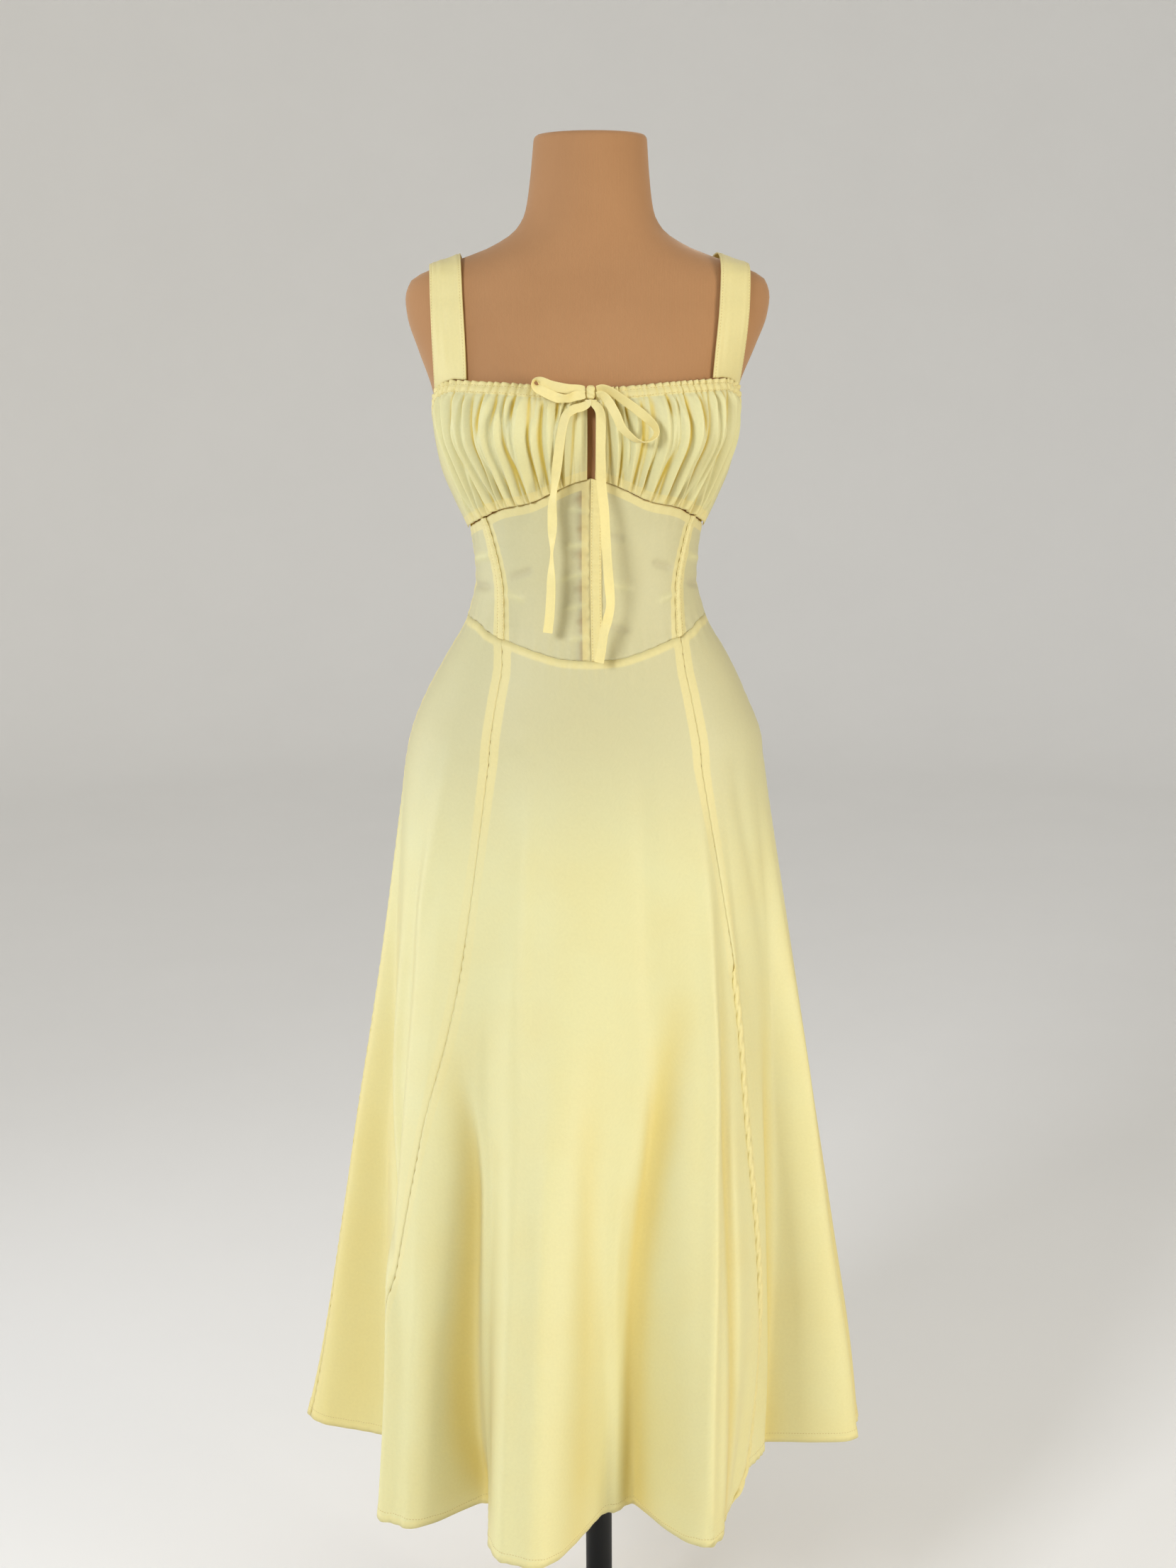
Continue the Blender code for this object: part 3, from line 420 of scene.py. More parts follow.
def gridMesh(name, points):
    # a mesh over rows and columns of points, with its threads along them
    across = np.concatenate([np.zeros((points.shape[0], 1)),
                             np.cumsum(np.linalg.norm(np.diff(points, axis=1), axis=-1), 1)], 1)
    across -= across[:, across.shape[1] // 2][:, None]
    upward = np.concatenate([np.zeros((1, points.shape[1])),
                             np.cumsum(np.linalg.norm(np.diff(points, axis=0), axis=-1), 0)], 0)
    index = np.arange(points.shape[0] * points.shape[1]).reshape(points.shape[:2])
    quads = np.stack([index[:-1, :-1], index[:-1, 1:], index[1:, 1:], index[1:, :-1]], -1).reshape(-1, 4)
    mesh = bpy.data.meshes.new(name)
    mesh.from_pydata(points.reshape(-1, 3).tolist(), [], quads.tolist())
    layThreads(mesh, np.stack([across, upward], -1).reshape(-1, 2))
    return mesh


def finishPiece(name, mesh, material, node=None, sharp=None):
    mesh.shade_smooth()
    if sharp:
        mesh.set_sharp_from_angle(angle=math.radians(sharp))
    mesh.materials.append(material)
    made = bpy.data.objects.new(name, mesh)
    collection.objects.link(made)
    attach(made, "root")
    if node:
        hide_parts(node)
    return made


grids = {}  # each cloth piece's own points, for the stitching


def clothPiece(name, node, surface, columns, rows, thickness=0.0007):
    across, up = np.meshgrid(np.linspace(0, 1, columns + 1), np.linspace(0, 1, rows + 1))
    points, marks = surface(across, up)
    grids[name] = points
    mesh = gridMesh(name, points)
    markPoints(mesh, {key: np.broadcast_to(values, across.shape).ravel() for key, values in marks.items()})
    made = finishPiece(name, mesh, cotton, node)
    wall = made.modifiers.new("wall", "SOLIDIFY")
    wall.thickness, wall.offset = thickness, -1.0
    return made


def coverShare(angle, height, radius, near=0.004, far=0.060):
    # how much of the form shows through: all where the cloth lies on it, none below it
    gap = radius - formRadius(angle, height)
    return (1 - smoothStep((gap - near) / (far - near))) * smoothStep((height - formBottom) / 0.22)


def layerShare(*gaps):
    # 1 within a seam allowance of any of the seams, and falling to 0 past it
    nearest = np.minimum.reduce([np.broadcast_to(g, gaps[0].shape) for g in gaps])
    return np.clip(0.5 + (cottonLook["allowance"] - nearest) / 0.002, 0, 1)


# ---- stand: turned steel, with the edges rounded as spinning leaves them

standShape = {
    "sides": 112,
    "corner": 7,  # points round each upper edge
    "sharp": 40,  # degrees between faces that stay a hard edge
    "gap": 0.0003,  # between one piece and the next
    "top": formBottom + float(seat[2]) - 0.0003,
    "base": (0.165, 0.014, 0.0045),  # radius, height, rounding
    "socket": (0.024, 0.040, 0.003),
    "flange": (0.045, 0.008, 0.002),
    "pole": (0.0145, 0.0004),  # radius, rounding
}


def turnedPiece(name, node, radius, low, high, rounding):
    # a lathe profile, from the underside round the rounded edge to the top
    profile = [(radius - 0.25 * rounding, low), (radius, low + 0.25 * rounding)]
    profile += [(radius - rounding + rounding * math.cos(a), high - rounding + rounding * math.sin(a))
                for a in np.linspace(0, math.pi / 2, standShape["corner"])]
    profile.append((0.5 * (radius - rounding), high))
    turn = np.linspace(0, 2 * math.pi, standShape["sides"], endpoint=False)
    rings = [[(r * math.cos(a), r * math.sin(a), z) for a in turn] for r, z in profile]
    points = [spot for ring in rings for spot in ring] + [(0, 0, low), (0, 0, high)]
    count, last = len(turn), len(points)
    top = (len(rings) - 1) * count
    faces = []
    for i in range(count):
        j = (i + 1) % count
        faces += [(k + i, k + j, k + count + j, k + count + i) for k in range(0, top, count)]
        faces += [(j, i, last - 2), (top + i, top + j, last - 1)]
    mesh = bpy.data.meshes.new(name)
    mesh.from_pydata(points, [], faces)
    finishPiece(name, mesh, enamel, node, sharp=standShape["sharp"])


gap = standShape["gap"]
radius, baseTop, rounding = standShape["base"]
turnedPiece("standBase", "stand_base", radius, 0.0, baseTop, rounding)
radius, tall, rounding = standShape["socket"]
socketTop = baseTop + tall
turnedPiece("standSocket", "stand_socket", radius, baseTop + gap, socketTop, rounding)
radius, tall, rounding = standShape["flange"]
flangeLow = standShape["top"] - tall
turnedPiece("standPole", "stand_pole", standShape["pole"][0], socketTop + gap, flangeLow - gap,
            standShape["pole"][1])
turnedPiece("standFlange", "stand_flange", radius, flangeLow, standShape["top"], rounding)
print("stand turned")


# ---- skirt

skirtColumns = ("height", "left", "right", "front", "back")
skirtRows = [
    (0.255, 0.3115, 0.2945, 0.3220, 0.2970), (0.327, 0.2950, 0.2870, 0.3020, 0.2830),
    (0.480, 0.2675, 0.2630, 0.2600, 0.2480), (0.654, 0.2385, 0.2350, 0.2070, 0.2050),
    (0.8225, 0.2110, 0.2080, 0.1570, 0.1660), (0.9445, 0.1930, 0.1885, 0.1240, 0.1420),
    (1.000, 0.1850, 0.1800, 0.1120, 0.1330), (1.058, 0.1675, 0.1600, 0.1035, 0.1145),
    (1.095, 0.1490, 0.1425, 0.0975, 0.1000), (1.137, 0.1205, 0.1205, 0.0915, 0.0855),
]
skirtCurve = tableCurves(skirtColumns, skirtRows)

foldHeights = (0.255, 0.500, 0.950)
foldRows = [  # angle at the hem, middle and hip, half width of its flat, depth at the hem
    (-160.0, -160.0, -160.0, 1.0, 0.19), (-140.0, -140.0, -140.0, 1.5, 0.03),
    (-118.0, -118.0, -116.0, 2.0, 0.22), (-95.0, -94.0, -92.0, 3.0, 0.00),
    (-69.0, -73.0, -79.0, 7.0, 0.27), (-43.0, -50.0, -64.0, 3.0, 0.03),
    (-31.0, -34.0, -47.0, 1.0, 0.27), (-15.5, -17.0, -22.0, 3.0, 0.00),
    (5.0, 9.0, 23.0, 3.0, 0.33), (20.0, 28.0, 44.0, 2.0, 0.06),
    (31.0, 45.5, 52.0, 1.0, 0.18), (55.0, 58.0, 66.0, 8.0, 0.31),
    (82.0, 82.0, 88.0, 8.0, 0.01), (118.0, 118.0, 116.0, 2.0, 0.20),
    (140.0, 140.0, 140.0, 1.5, 0.03), (160.0, 160.0, 160.0, 1.0, 0.19),
    (180.0, 180.0, 180.0, 1.5, 0.04),
]
foldCentres = [smoothCurve(foldHeights, row[:3]) for row in foldRows]
foldFlats = np.array([foldRows[-1][3]] + [row[3] for row in foldRows] + [foldRows[0][3]])
foldDepths = np.array([foldRows[-1][4]] + [row[4] for row in foldRows] + [foldRows[0][4]])

skirtShape = {"hem": 0.255, "foldStart": 0.985, "foldGrowth": 1.15, "hipEase": 0.0020, "hipEaseDrop": 0.07,
              "foldGain": 1.25, "valleyDepth": 0.0085, "slitCurl": 0.003, "slitCurlWide": 0.014,
              "clear": 0.0028}

# creases between the main folds: angle and height at the top, the same at the foot, width, depth
skirtCreases = [
    (-30, 0.98, -26, 0.70, 0.011, 0.0022), (24, 1.00, 17, 0.72, 0.010, -0.0020),
    (-62, 1.02, -66, 0.80, 0.011, 0.0025), (64, 1.00, 70, 0.74, 0.010, -0.0022),
    (-12, 1.08, 6, 1.055, 0.006, -0.0012), (22, 1.085, 34, 1.060, 0.006, -0.0012),
    (-38, 1.03, -26, 1.00, 0.008, 0.0010), (150, 1.09, 172, 1.07, 0.007, -0.0014),
    (-172, 1.05, -150, 1.03, 0.008, 0.0012),
]

# ridges and the troughs beside them: places as height and angle, width, depth, and where it dies out above
skirtFolds = [
    (((0.255, -24), (0.335, -29.5), (0.573, -32.5), (0.700, -41), (0.790, -47)), 0.0075, 0.0050, 0.80),
    (((0.255, -29), (0.335, -35), (0.573, -38.5), (0.700, -45), (0.790, -50)), 0.0130, -0.0075, 0.78),
    (((0.255, -36), (0.450, -43), (0.600, -47.5)), 0.0080, 0.0035, 0.56),
    (((0.255, -46), (0.458, -53), (0.558, -66), (0.696, -74), (0.819, -75), (1.000, -82)),
     0.0100, 0.0055, 1.02),
    (((0.255, -53), (0.458, -61), (0.558, -72), (0.700, -81), (0.850, -84)), 0.0140, -0.0060, 0.86),
    (((0.255, -13), (0.420, -14), (0.620, -15), (0.800, -12)), 0.0110, 0.0035, 0.74),
    (((0.255, -6), (0.420, -5), (0.620, -3), (0.900, 2)), 0.0130, -0.0035, 0.84),
    (((0.255, 2.5), (0.350, 3.5), (0.500, 4.5), (0.640, 9.0), (0.800, 19)), 0.0085, 0.0042, 0.72),
    (((0.255, 8.5), (0.350, 9), (0.496, 11.5), (0.642, 19), (0.781, 29)), 0.0140, -0.0080, 0.88),
    (((0.255, 20), (0.400, 23), (0.581, 29), (0.750, 38), (0.912, 45), (1.060, 47)), 0.0080, 0.0060, 1.06),
    (((0.255, 25), (0.400, 29), (0.581, 35), (0.750, 43), (0.900, 48)), 0.0090, -0.0055, 0.90),
    (((0.255, 63), (0.450, 63), (0.700, 66), (0.900, 70)), 0.0110, -0.0055, 0.84),
    (((0.255, 71), (0.450, 71), (0.700, 74), (0.950, 80)), 0.0100, 0.0050, 0.92),
    (((0.255, 78), (0.450, 78), (0.700, 81)), 0.0110, -0.0045, 0.66),
    (((0.255, 102), (0.500, 103), (0.900, 107)), 0.0100, 0.0050, 0.90),
    (((0.255, 113), (0.500, 114), (0.900, 115)), 0.0130, -0.0070, 0.88),
    (((0.255, 133), (0.500, 134), (0.900, 139)), 0.0095, 0.0050, 0.94),
    (((0.255, 155), (0.500, 156), (0.850, 158)), 0.0130, -0.0065, 0.86),
    (((0.255, 173), (0.500, 172), (0.900, 170)), 0.0100, 0.0045, 0.86),
    (((0.255, -166), (0.500, -165), (0.850, -163)), 0.0130, -0.0065, 0.90),
    (((0.255, -146), (0.500, -145), (0.900, -142)), 0.0100, 0.0050, 0.82),
    (((0.255, -125), (0.500, -124), (0.850, -121)), 0.0130, -0.0065, 0.90),
    (((0.255, -108), (0.500, -107), (0.900, -104)), 0.0100, 0.0050, 0.88),
    (((0.255, -86), (0.500, -87), (0.800, -88)), 0.0110, 0.0040, 0.72),
]


def skirtFoldField(angle, height, radius):
    total = np.zeros_like(height)
    for k, (line, width, depth, top) in enumerate(skirtFolds):
        heights, angles = zip(*line)
        sway = 0.6 * np.sin(9 * height + 1.7 * k)
        away = shortWay(angle - smoothCurve(heights, angles)(height) - sway) * np.radians(1) * radius
        grow = smoothStep((top - height) / (0.45 * (top - skirtShape["hem"])))
        spread = width * (1 + 0.9 * (1 - grow))
        total += depth * grow * np.exp(-(away / spread)**2)
    return total


def foldDepth(angle, height):
    centres = np.stack([curve(height) for curve in foldCentres])
    centres = np.concatenate([centres[-1:] - 360, centres, centres[:1] + 360])
    i = (centres <= angle).sum(0) - 1
    start = np.take_along_axis(centres, i[None], 0)[0] + foldFlats[i]
    end = np.take_along_axis(centres, i[None] + 1, 0)[0] - foldFlats[i + 1]
    across = smoothStep((angle - start) / (end - start))
    depth = foldDepths[i] + (foldDepths[i + 1] - foldDepths[i]) * across
    below = skirtShape["foldStart"] - height
    growth = np.clip(below / (skirtShape["foldStart"] - skirtShape["hem"]), 0, 1)
    return depth * growth**skirtShape["foldGrowth"]


def skirtRadius(angle, height):
    angle = shortWay(angle)
    side = np.where(angle > 0, skirtCurve["right"](height), skirtCurve["left"](height))
    depth = np.where(np.abs(angle) < 90, skirtCurve["front"](height), skirtCurve["back"](height))
    blend = smoothStep((height - skirtRows[-4][0]) / (skirtRows[-1][0] - skirtRows[-4][0]))
    draped = section(angle, side, depth, 2.0) * (1 - foldDepth(angle, height))
    fitted = bodiceRadius(angle, height)
    drop = waistSeam(np.abs(angle)) - height
    least = fitted + skirtShape["hipEase"] * smoothStep(drop / skirtShape["hipEaseDrop"])
    return np.maximum(draped * (1 - blend) + fitted * blend, least)


def skirtPanel(name, node, first, last, columns, rows, slitOnRight=False, slitOnLeft=False):
    def surface(across, up):
        angle = first(0.7) + (last(0.7) - first(0.7)) * across
        height = np.full_like(across, 0.7)
        for _ in range(6):
            trim = np.degrees(0.5 * seamGap / skirtRadius(angle, height))
            left, right = first(height) + trim, last(height) - trim
            angle = left + (right - left) * across
            top = waistSeam(np.abs(shortWay(angle))) - 0.5 * seamGap
            height = skirtShape["hem"] + (top - skirtShape["hem"]) * up
        short = shortWay(angle)
        radius = skirtRadius(short, height)
        fromLeft = (angle - left) * np.radians(1) * radius
        fromRight = (right - angle) * np.radians(1) * radius
        fromTop, fromHem = top - height, height - skirtShape["hem"]
        base = radius.copy()
        folds = skirtFoldField(short, height, base)
        radius = radius + creaseField(skirtCreases, short, height, base) + skirtShape["foldGain"] * folds
        openLeft = smoothStep((slitTop - height) / 0.01) if slitOnLeft else 0.0
        openRight = smoothStep((slitTop - height) / 0.01) if slitOnRight else 0.0
        radius = radius + seamDip(fromLeft, height, 0.7) * (1 - openLeft)
        radius = radius + seamDip(fromRight, height, 2.1) * (1 - openRight)
        radius = radius + seamDip(fromTop, short * 0.0018, 0.3)
        for gap, share in ((fromLeft, openLeft), (fromRight, openRight)):
            curl = np.clip(1 - gap / skirtShape["slitCurlWide"], 0, 1)**2
            radius = radius - share * skirtShape["slitCurl"] * curl
        hemWave = np.sin(short * 2.6 + 1.4 * np.sin(short * 0.31)) * 0.0006
        radius = radius + hemWave * np.exp(-fromHem / 0.012)
        radius = radius + 0.0007 * smoothStep((cottonLook["hem"] - fromHem) / 0.001)
        radius = np.maximum(radius, formRadius(short, height) + skirtShape["clear"])
        cover = coverShare(short, height, base)
        layers = layerShare(fromLeft, fromRight, fromTop)
        layers = np.maximum(layers, np.clip(0.5 + (cottonLook["hem"] - fromHem) / 0.001, 0, 1))
        # painted shade down in the skirt's fold troughs
        valley = smoothStep(-folds / skirtShape["valleyDepth"])
        # painted shade and glow: the two sides hang in deep folds of the back, and they also take the deep
        # fold colour, for warm light coming through the cloth there
        atSide = smoothStep((np.abs(short) - 66) / 20) * smoothStep((124 - np.abs(short)) / 30)
        valley = np.maximum(valley, 0.6 * atSide * smoothStep((0.92 - height) / 0.35))
        return place(angle, height, radius), {"overForm": 0.75 * cover, "valley": valley,
                                              "layers": layers * (0.45 + 0.35 * cover)}

    return clothPiece(name, node, surface, columns, rows)


def always(value):
    return lambda height: value + 0 * height


skirtFront = skirtPanel("skirtFront", "skirt_front", leftPanelSeam, slitFront, 200, 150, slitOnRight=True)
skirtSideLeft = skirtPanel("skirtSideLeft", "skirt_side_left", always(-90.0), leftPanelSeam, 80, 150)
skirtSideRight = skirtPanel("skirtSideRight", "skirt_side_right", slitSide, always(90.0), 84, 150,
                            slitOnLeft=True)
skirtBack = skirtPanel("skirtBack", "skirt_back", always(90.0), always(270.0), 250, 130)
print("skirt sewn")


# ---- midriff and back

fittedShape = {"creaseGain": 1.5, "clear": 0.0014, "seamBand": 0.90, "seamBandAt": -4.2, "seamBandWide": 3.4}
midriffCreases = [  # small wrinkles where the panels pull at the centre seam and the waist
    (-1, 1.262, -11, 1.258, 0.0030, -0.0008), (-1, 1.247, -15, 1.251, 0.0028, 0.0007),
    (-1, 1.232, -9, 1.229, 0.0026, -0.0009), (-1, 1.216, -17, 1.213, 0.0032, 0.0009),
    (-1, 1.203, -13, 1.206, 0.0026, -0.0010), (-1, 1.188, -22, 1.180, 0.0034, 0.0009),
    (-1, 1.172, -12, 1.171, 0.0026, -0.0010), (-1, 1.157, -18, 1.152, 0.0030, 0.0008),
    (-1, 1.141, -10, 1.139, 0.0026, -0.0009), (-1, 1.126, -14, 1.122, 0.0028, 0.0008),
    (9, 1.225, 21, 1.219, 0.0034, -0.0007), (9, 1.178, 26, 1.170, 0.0036, 0.0008),
    (10, 1.135, 24, 1.129, 0.0034, -0.0008), (-36, 1.190, -50, 1.181, 0.0036, -0.0010),
    (-40, 1.160, -54, 1.166, 0.0034, 0.0008), (38, 1.196, 52, 1.188, 0.0036, -0.0010),
    (41, 1.158, 54, 1.163, 0.0034, 0.0008), (62, 1.200, 84, 1.192, 0.0040, 0.0012),
    (64, 1.172, 88, 1.166, 0.0040, -0.0012), (-62, 1.202, -84, 1.194, 0.0040, 0.0012),
    (-63, 1.170, -88, 1.168, 0.0040, -0.0012),
]
backCreases = [
    (120, 1.215, 172, 1.200, 0.0055, -0.0016), (128, 1.190, 200, 1.178, 0.0050, 0.0014),
    (150, 1.165, 232, 1.172, 0.0055, -0.0016), (190, 1.214, 240, 1.205, 0.0050, 0.0014),
    (104, 1.176, 132, 1.168, 0.0045, 0.0012), (226, 1.192, 256, 1.186, 0.0045, -0.0012),
    (140, 1.290, 166, 1.262, 0.0080, -0.0014), (220, 1.290, 196, 1.258, 0.0080, -0.0014),
    (112, 1.280, 124, 1.240, 0.0070, 0.0012), (248, 1.282, 236, 1.242, 0.0070, 0.0012),
]


def fittedPanel(name, node, first, last, low, high, columns, rows, creases, free=False):
    def surface(across, up):
        guess = first(1.2) + (last(1.2) - first(1.2)) * across
        for _ in range(4):
            bottom, top = low(guess) + 0.5 * seamGap, high(guess) - 0.5 * seamGap
            height = bottom + (top - bottom) * up
            trim = np.degrees(0.5 * seamGap / formRadius(guess, height))
            left, right = first(height) + trim, last(height) - trim
            guess = left + (right - left) * across
        radius = bodiceRadius(guess, height)
        fromLeft = (guess - left) * np.radians(1) * radius
        fromRight = (right - guess) * np.radians(1) * radius
        fromLow, fromTop = height - bottom, top - height
        lift = fittedShape["creaseGain"] * creaseField(creases, guess, height, radius)
        radius = radius + lift
        radius = radius + seamDip(fromLeft, height, 0.4) + seamDip(fromRight, height, 1.9)
        radius = radius + seamDip(fromLow, guess * 0.0018, 0.9)
        radius = radius + (0.0004 * np.exp(-(fromTop / 0.004)**2) if free
                           else seamDip(fromTop, guess * 0.0018, 2.6))
        radius = np.maximum(radius, formRadius(guess, height) + fittedShape["clear"])
        layers = layerShare(fromLeft, fromRight, fromTop)
        # a darker brown band just left of the centre seam, weaker on the crease ridges
        apart = (guess - fittedShape["seamBandAt"]) / fittedShape["seamBandWide"]
        seamBand = fittedShape["seamBand"] * np.exp(-apart**2) if name == "midriffFrontLeft" else 0.0
        # painted highlight on the crease ridges and painted shade in their troughs, on top of the form
        # showing through less where the cloth lifts
        cover = np.clip(0.8 - 320 * lift, 0.25, 1.05)
        return place(guess, height, radius), {"overForm": cover + seamBand * (1 - 500 * np.maximum(lift, 0)),
                                              "layers": layers}

    return clothPiece(name, node, surface, columns, rows)


def lowSeam(angle):
    return waistSeam(np.abs(shortWay(angle)))


def bustSeam(angle):
    return underBust(np.abs(angle))


def backTop(angle):
    return topEdge(np.abs(shortWay(angle)))


midriffPieces = []
for word, side in (("Left", -1), ("Right", 1)):
    channelAt = (lambda height, s=side: s * channelLine(height))
    inner, outer = [always(0.0), channelAt], [channelAt, always(90.0 * side)]
    if side < 0:
        inner.reverse()
        outer.reverse()
    low = word.lower()
    midriffPieces += [
        fittedPanel(f"midriffFront{word}", f"midriff_front_{low}", *inner, lowSeam, bustSeam, 90, 80,
                    midriffCreases),
        fittedPanel(f"midriffSide{word}", f"midriff_side_{low}", *outer, lowSeam, bustSeam, 44, 60,
                    midriffCreases),
    ]
bodiceBack = fittedPanel("bodiceBack", "bodice_back", always(90.0), always(270.0), lowSeam, backTop,
                         170, 100, backCreases, free=True)

stripShape = {"wall": 0.0010, "lift": 0.0005, "channel": 0.0082, "front": 0.0105, "frontShift": 0.0045}


def sewnStrip(name, node, line, width, bulge):
    def surface(across, up):
        angle = line(1.18) + 0 * across
        for _ in range(4):
            bottom = lowSeam(angle) + 2 * seamGap
            height = bottom + (bustSeam(angle) - 4 * seamGap - bottom) * up
            angle = line(height) + np.degrees((across - 0.5) * width / bodiceRadius(line(height), height))
        fromEdge = np.minimum(across, 1 - across) * width
        crown = bulge * np.sin(np.pi * np.clip((fromEdge - 0.0012) / (width / 2 - 0.0012), 0, 1) / 2)
        ripple = 0.00025 * np.sin(height * 720 + 2.0 * np.sin(height * 90))
        radius = bodiceRadius(angle, height) + stripShape["lift"] + stripShape["wall"] + crown + ripple
        radius = radius - 0.0005 * np.exp(-((fromEdge - 0.0012) / 0.0005)**2)
        return place(angle, height, radius), {"overForm": 0.55, "layers": 1.0}

    return clothPiece(name, node, surface, 14, 120, thickness=stripShape["wall"])


shift = stripShape["frontShift"] / float(formRadius(0.0, 1.18))
stripPieces = [
    sewnStrip("channelLeft", "channel_left", lambda z: -channelLine(z), stripShape["channel"], 0.0008),
    sewnStrip("channelRight", "channel_right", lambda z: channelLine(z), stripShape["channel"], 0.0008),
    sewnStrip("frontStrip", "front_strip", always(math.degrees(shift)), stripShape["front"], 0.0002),
]
print("midriff sewn")


# ---- gathered cups

cupShape = {"ease": 0.0022, "puff": 0.0065, "slitHalf": 0.0038, "topGathers": 29, "topDepth": 0.0022,
            "lowGathers": 27, "lowDepth": 0.0020, "frill": 0.004, "casing": 0.0115,
            "foldGain": 1.75, "valleyDepth": 0.0026}


def unevenSteps(count, seed, spread=0.45):
    # places that step unevenly from 0 to count, as a drawn thread spaces its gathers
    random = np.random.default_rng(seed)
    steps = 1 + spread * random.uniform(-1, 1, count)
    ends = np.concatenate([[0], np.cumsum(steps)])
    return smoothCurve(ends / ends[-1], np.arange(count + 1)), random


def gatherWave(across, up, count, seed, leanBy=0.4):
    # rounded crests with tight creases between them, some much fuller than others
    warp, random = unevenSteps(count, seed)
    spot = warp(across)
    strength = np.interp(spot, np.arange(count + 1), random.uniform(0.35, 1.3, count + 1))
    lean = np.interp(spot, np.arange(count + 1), random.uniform(-leanBy, leanBy, count + 1))
    wave = np.sqrt(np.sin(math.pi * (spot + lean * (1 - up)**1.4))**2 + 0.012)
    return strength * (wave - 0.62)


# folds laid one by one: share across at the neckline and at the lower seam, half width as a share,
# height in metres, and the shares of the way down where each begins and ends
cupFolds = [
    (0.075, 0.120, 0.016, 0.0026, 0.00, 1.00), (0.130, 0.165, 0.012, 0.0021, 0.00, 0.80),
    (0.205, 0.200, 0.020, 0.0028, 0.10, 1.00), (0.255, 0.262, 0.011, 0.0022, 0.35, 1.00),
    (0.300, 0.330, 0.022, 0.0030, 0.00, 1.00), (0.372, 0.372, 0.011, 0.0024, 0.00, 0.62),
    (0.405, 0.420, 0.017, 0.0030, 0.22, 1.00), (0.470, 0.468, 0.021, 0.0033, 0.00, 1.00),
    (0.515, 0.530, 0.011, 0.0024, 0.40, 1.00), (0.560, 0.545, 0.015, 0.0030, 0.00, 0.85),
    (0.622, 0.602, 0.021, 0.0034, 0.00, 1.00), (0.660, 0.655, 0.011, 0.0024, 0.30, 1.00),
    (0.712, 0.688, 0.018, 0.0034, 0.00, 1.00), (0.770, 0.735, 0.016, 0.0028, 0.00, 0.90),
    (0.805, 0.790, 0.011, 0.0018, 0.15, 1.00),
]


def foldField(folds, across, down, bend):
    # ridges with a soft lit side and a tight crease beside them
    total = np.zeros_like(across)
    for k, (top, foot, width, height, begin, finish) in enumerate(folds):
        line = top + (foot - top) * down + bend * math.sin(2.1 * k + 0.6) * np.sin(np.pi * down)
        grow = smoothStep((down - begin + 0.10) / 0.22) * smoothStep((finish - down + 0.10) / 0.22)
        spread = width * (0.75 + 0.5 * np.sin(np.pi * down))
        t = (across - line) / spread
        total += height * grow * (np.exp(-np.abs(t)**1.6) - 0.55 * np.exp(-((t - 1.55) / 0.42)**2)
                                  - 0.35 * np.exp(-((t + 1.7) / 0.55)**2))
    return total


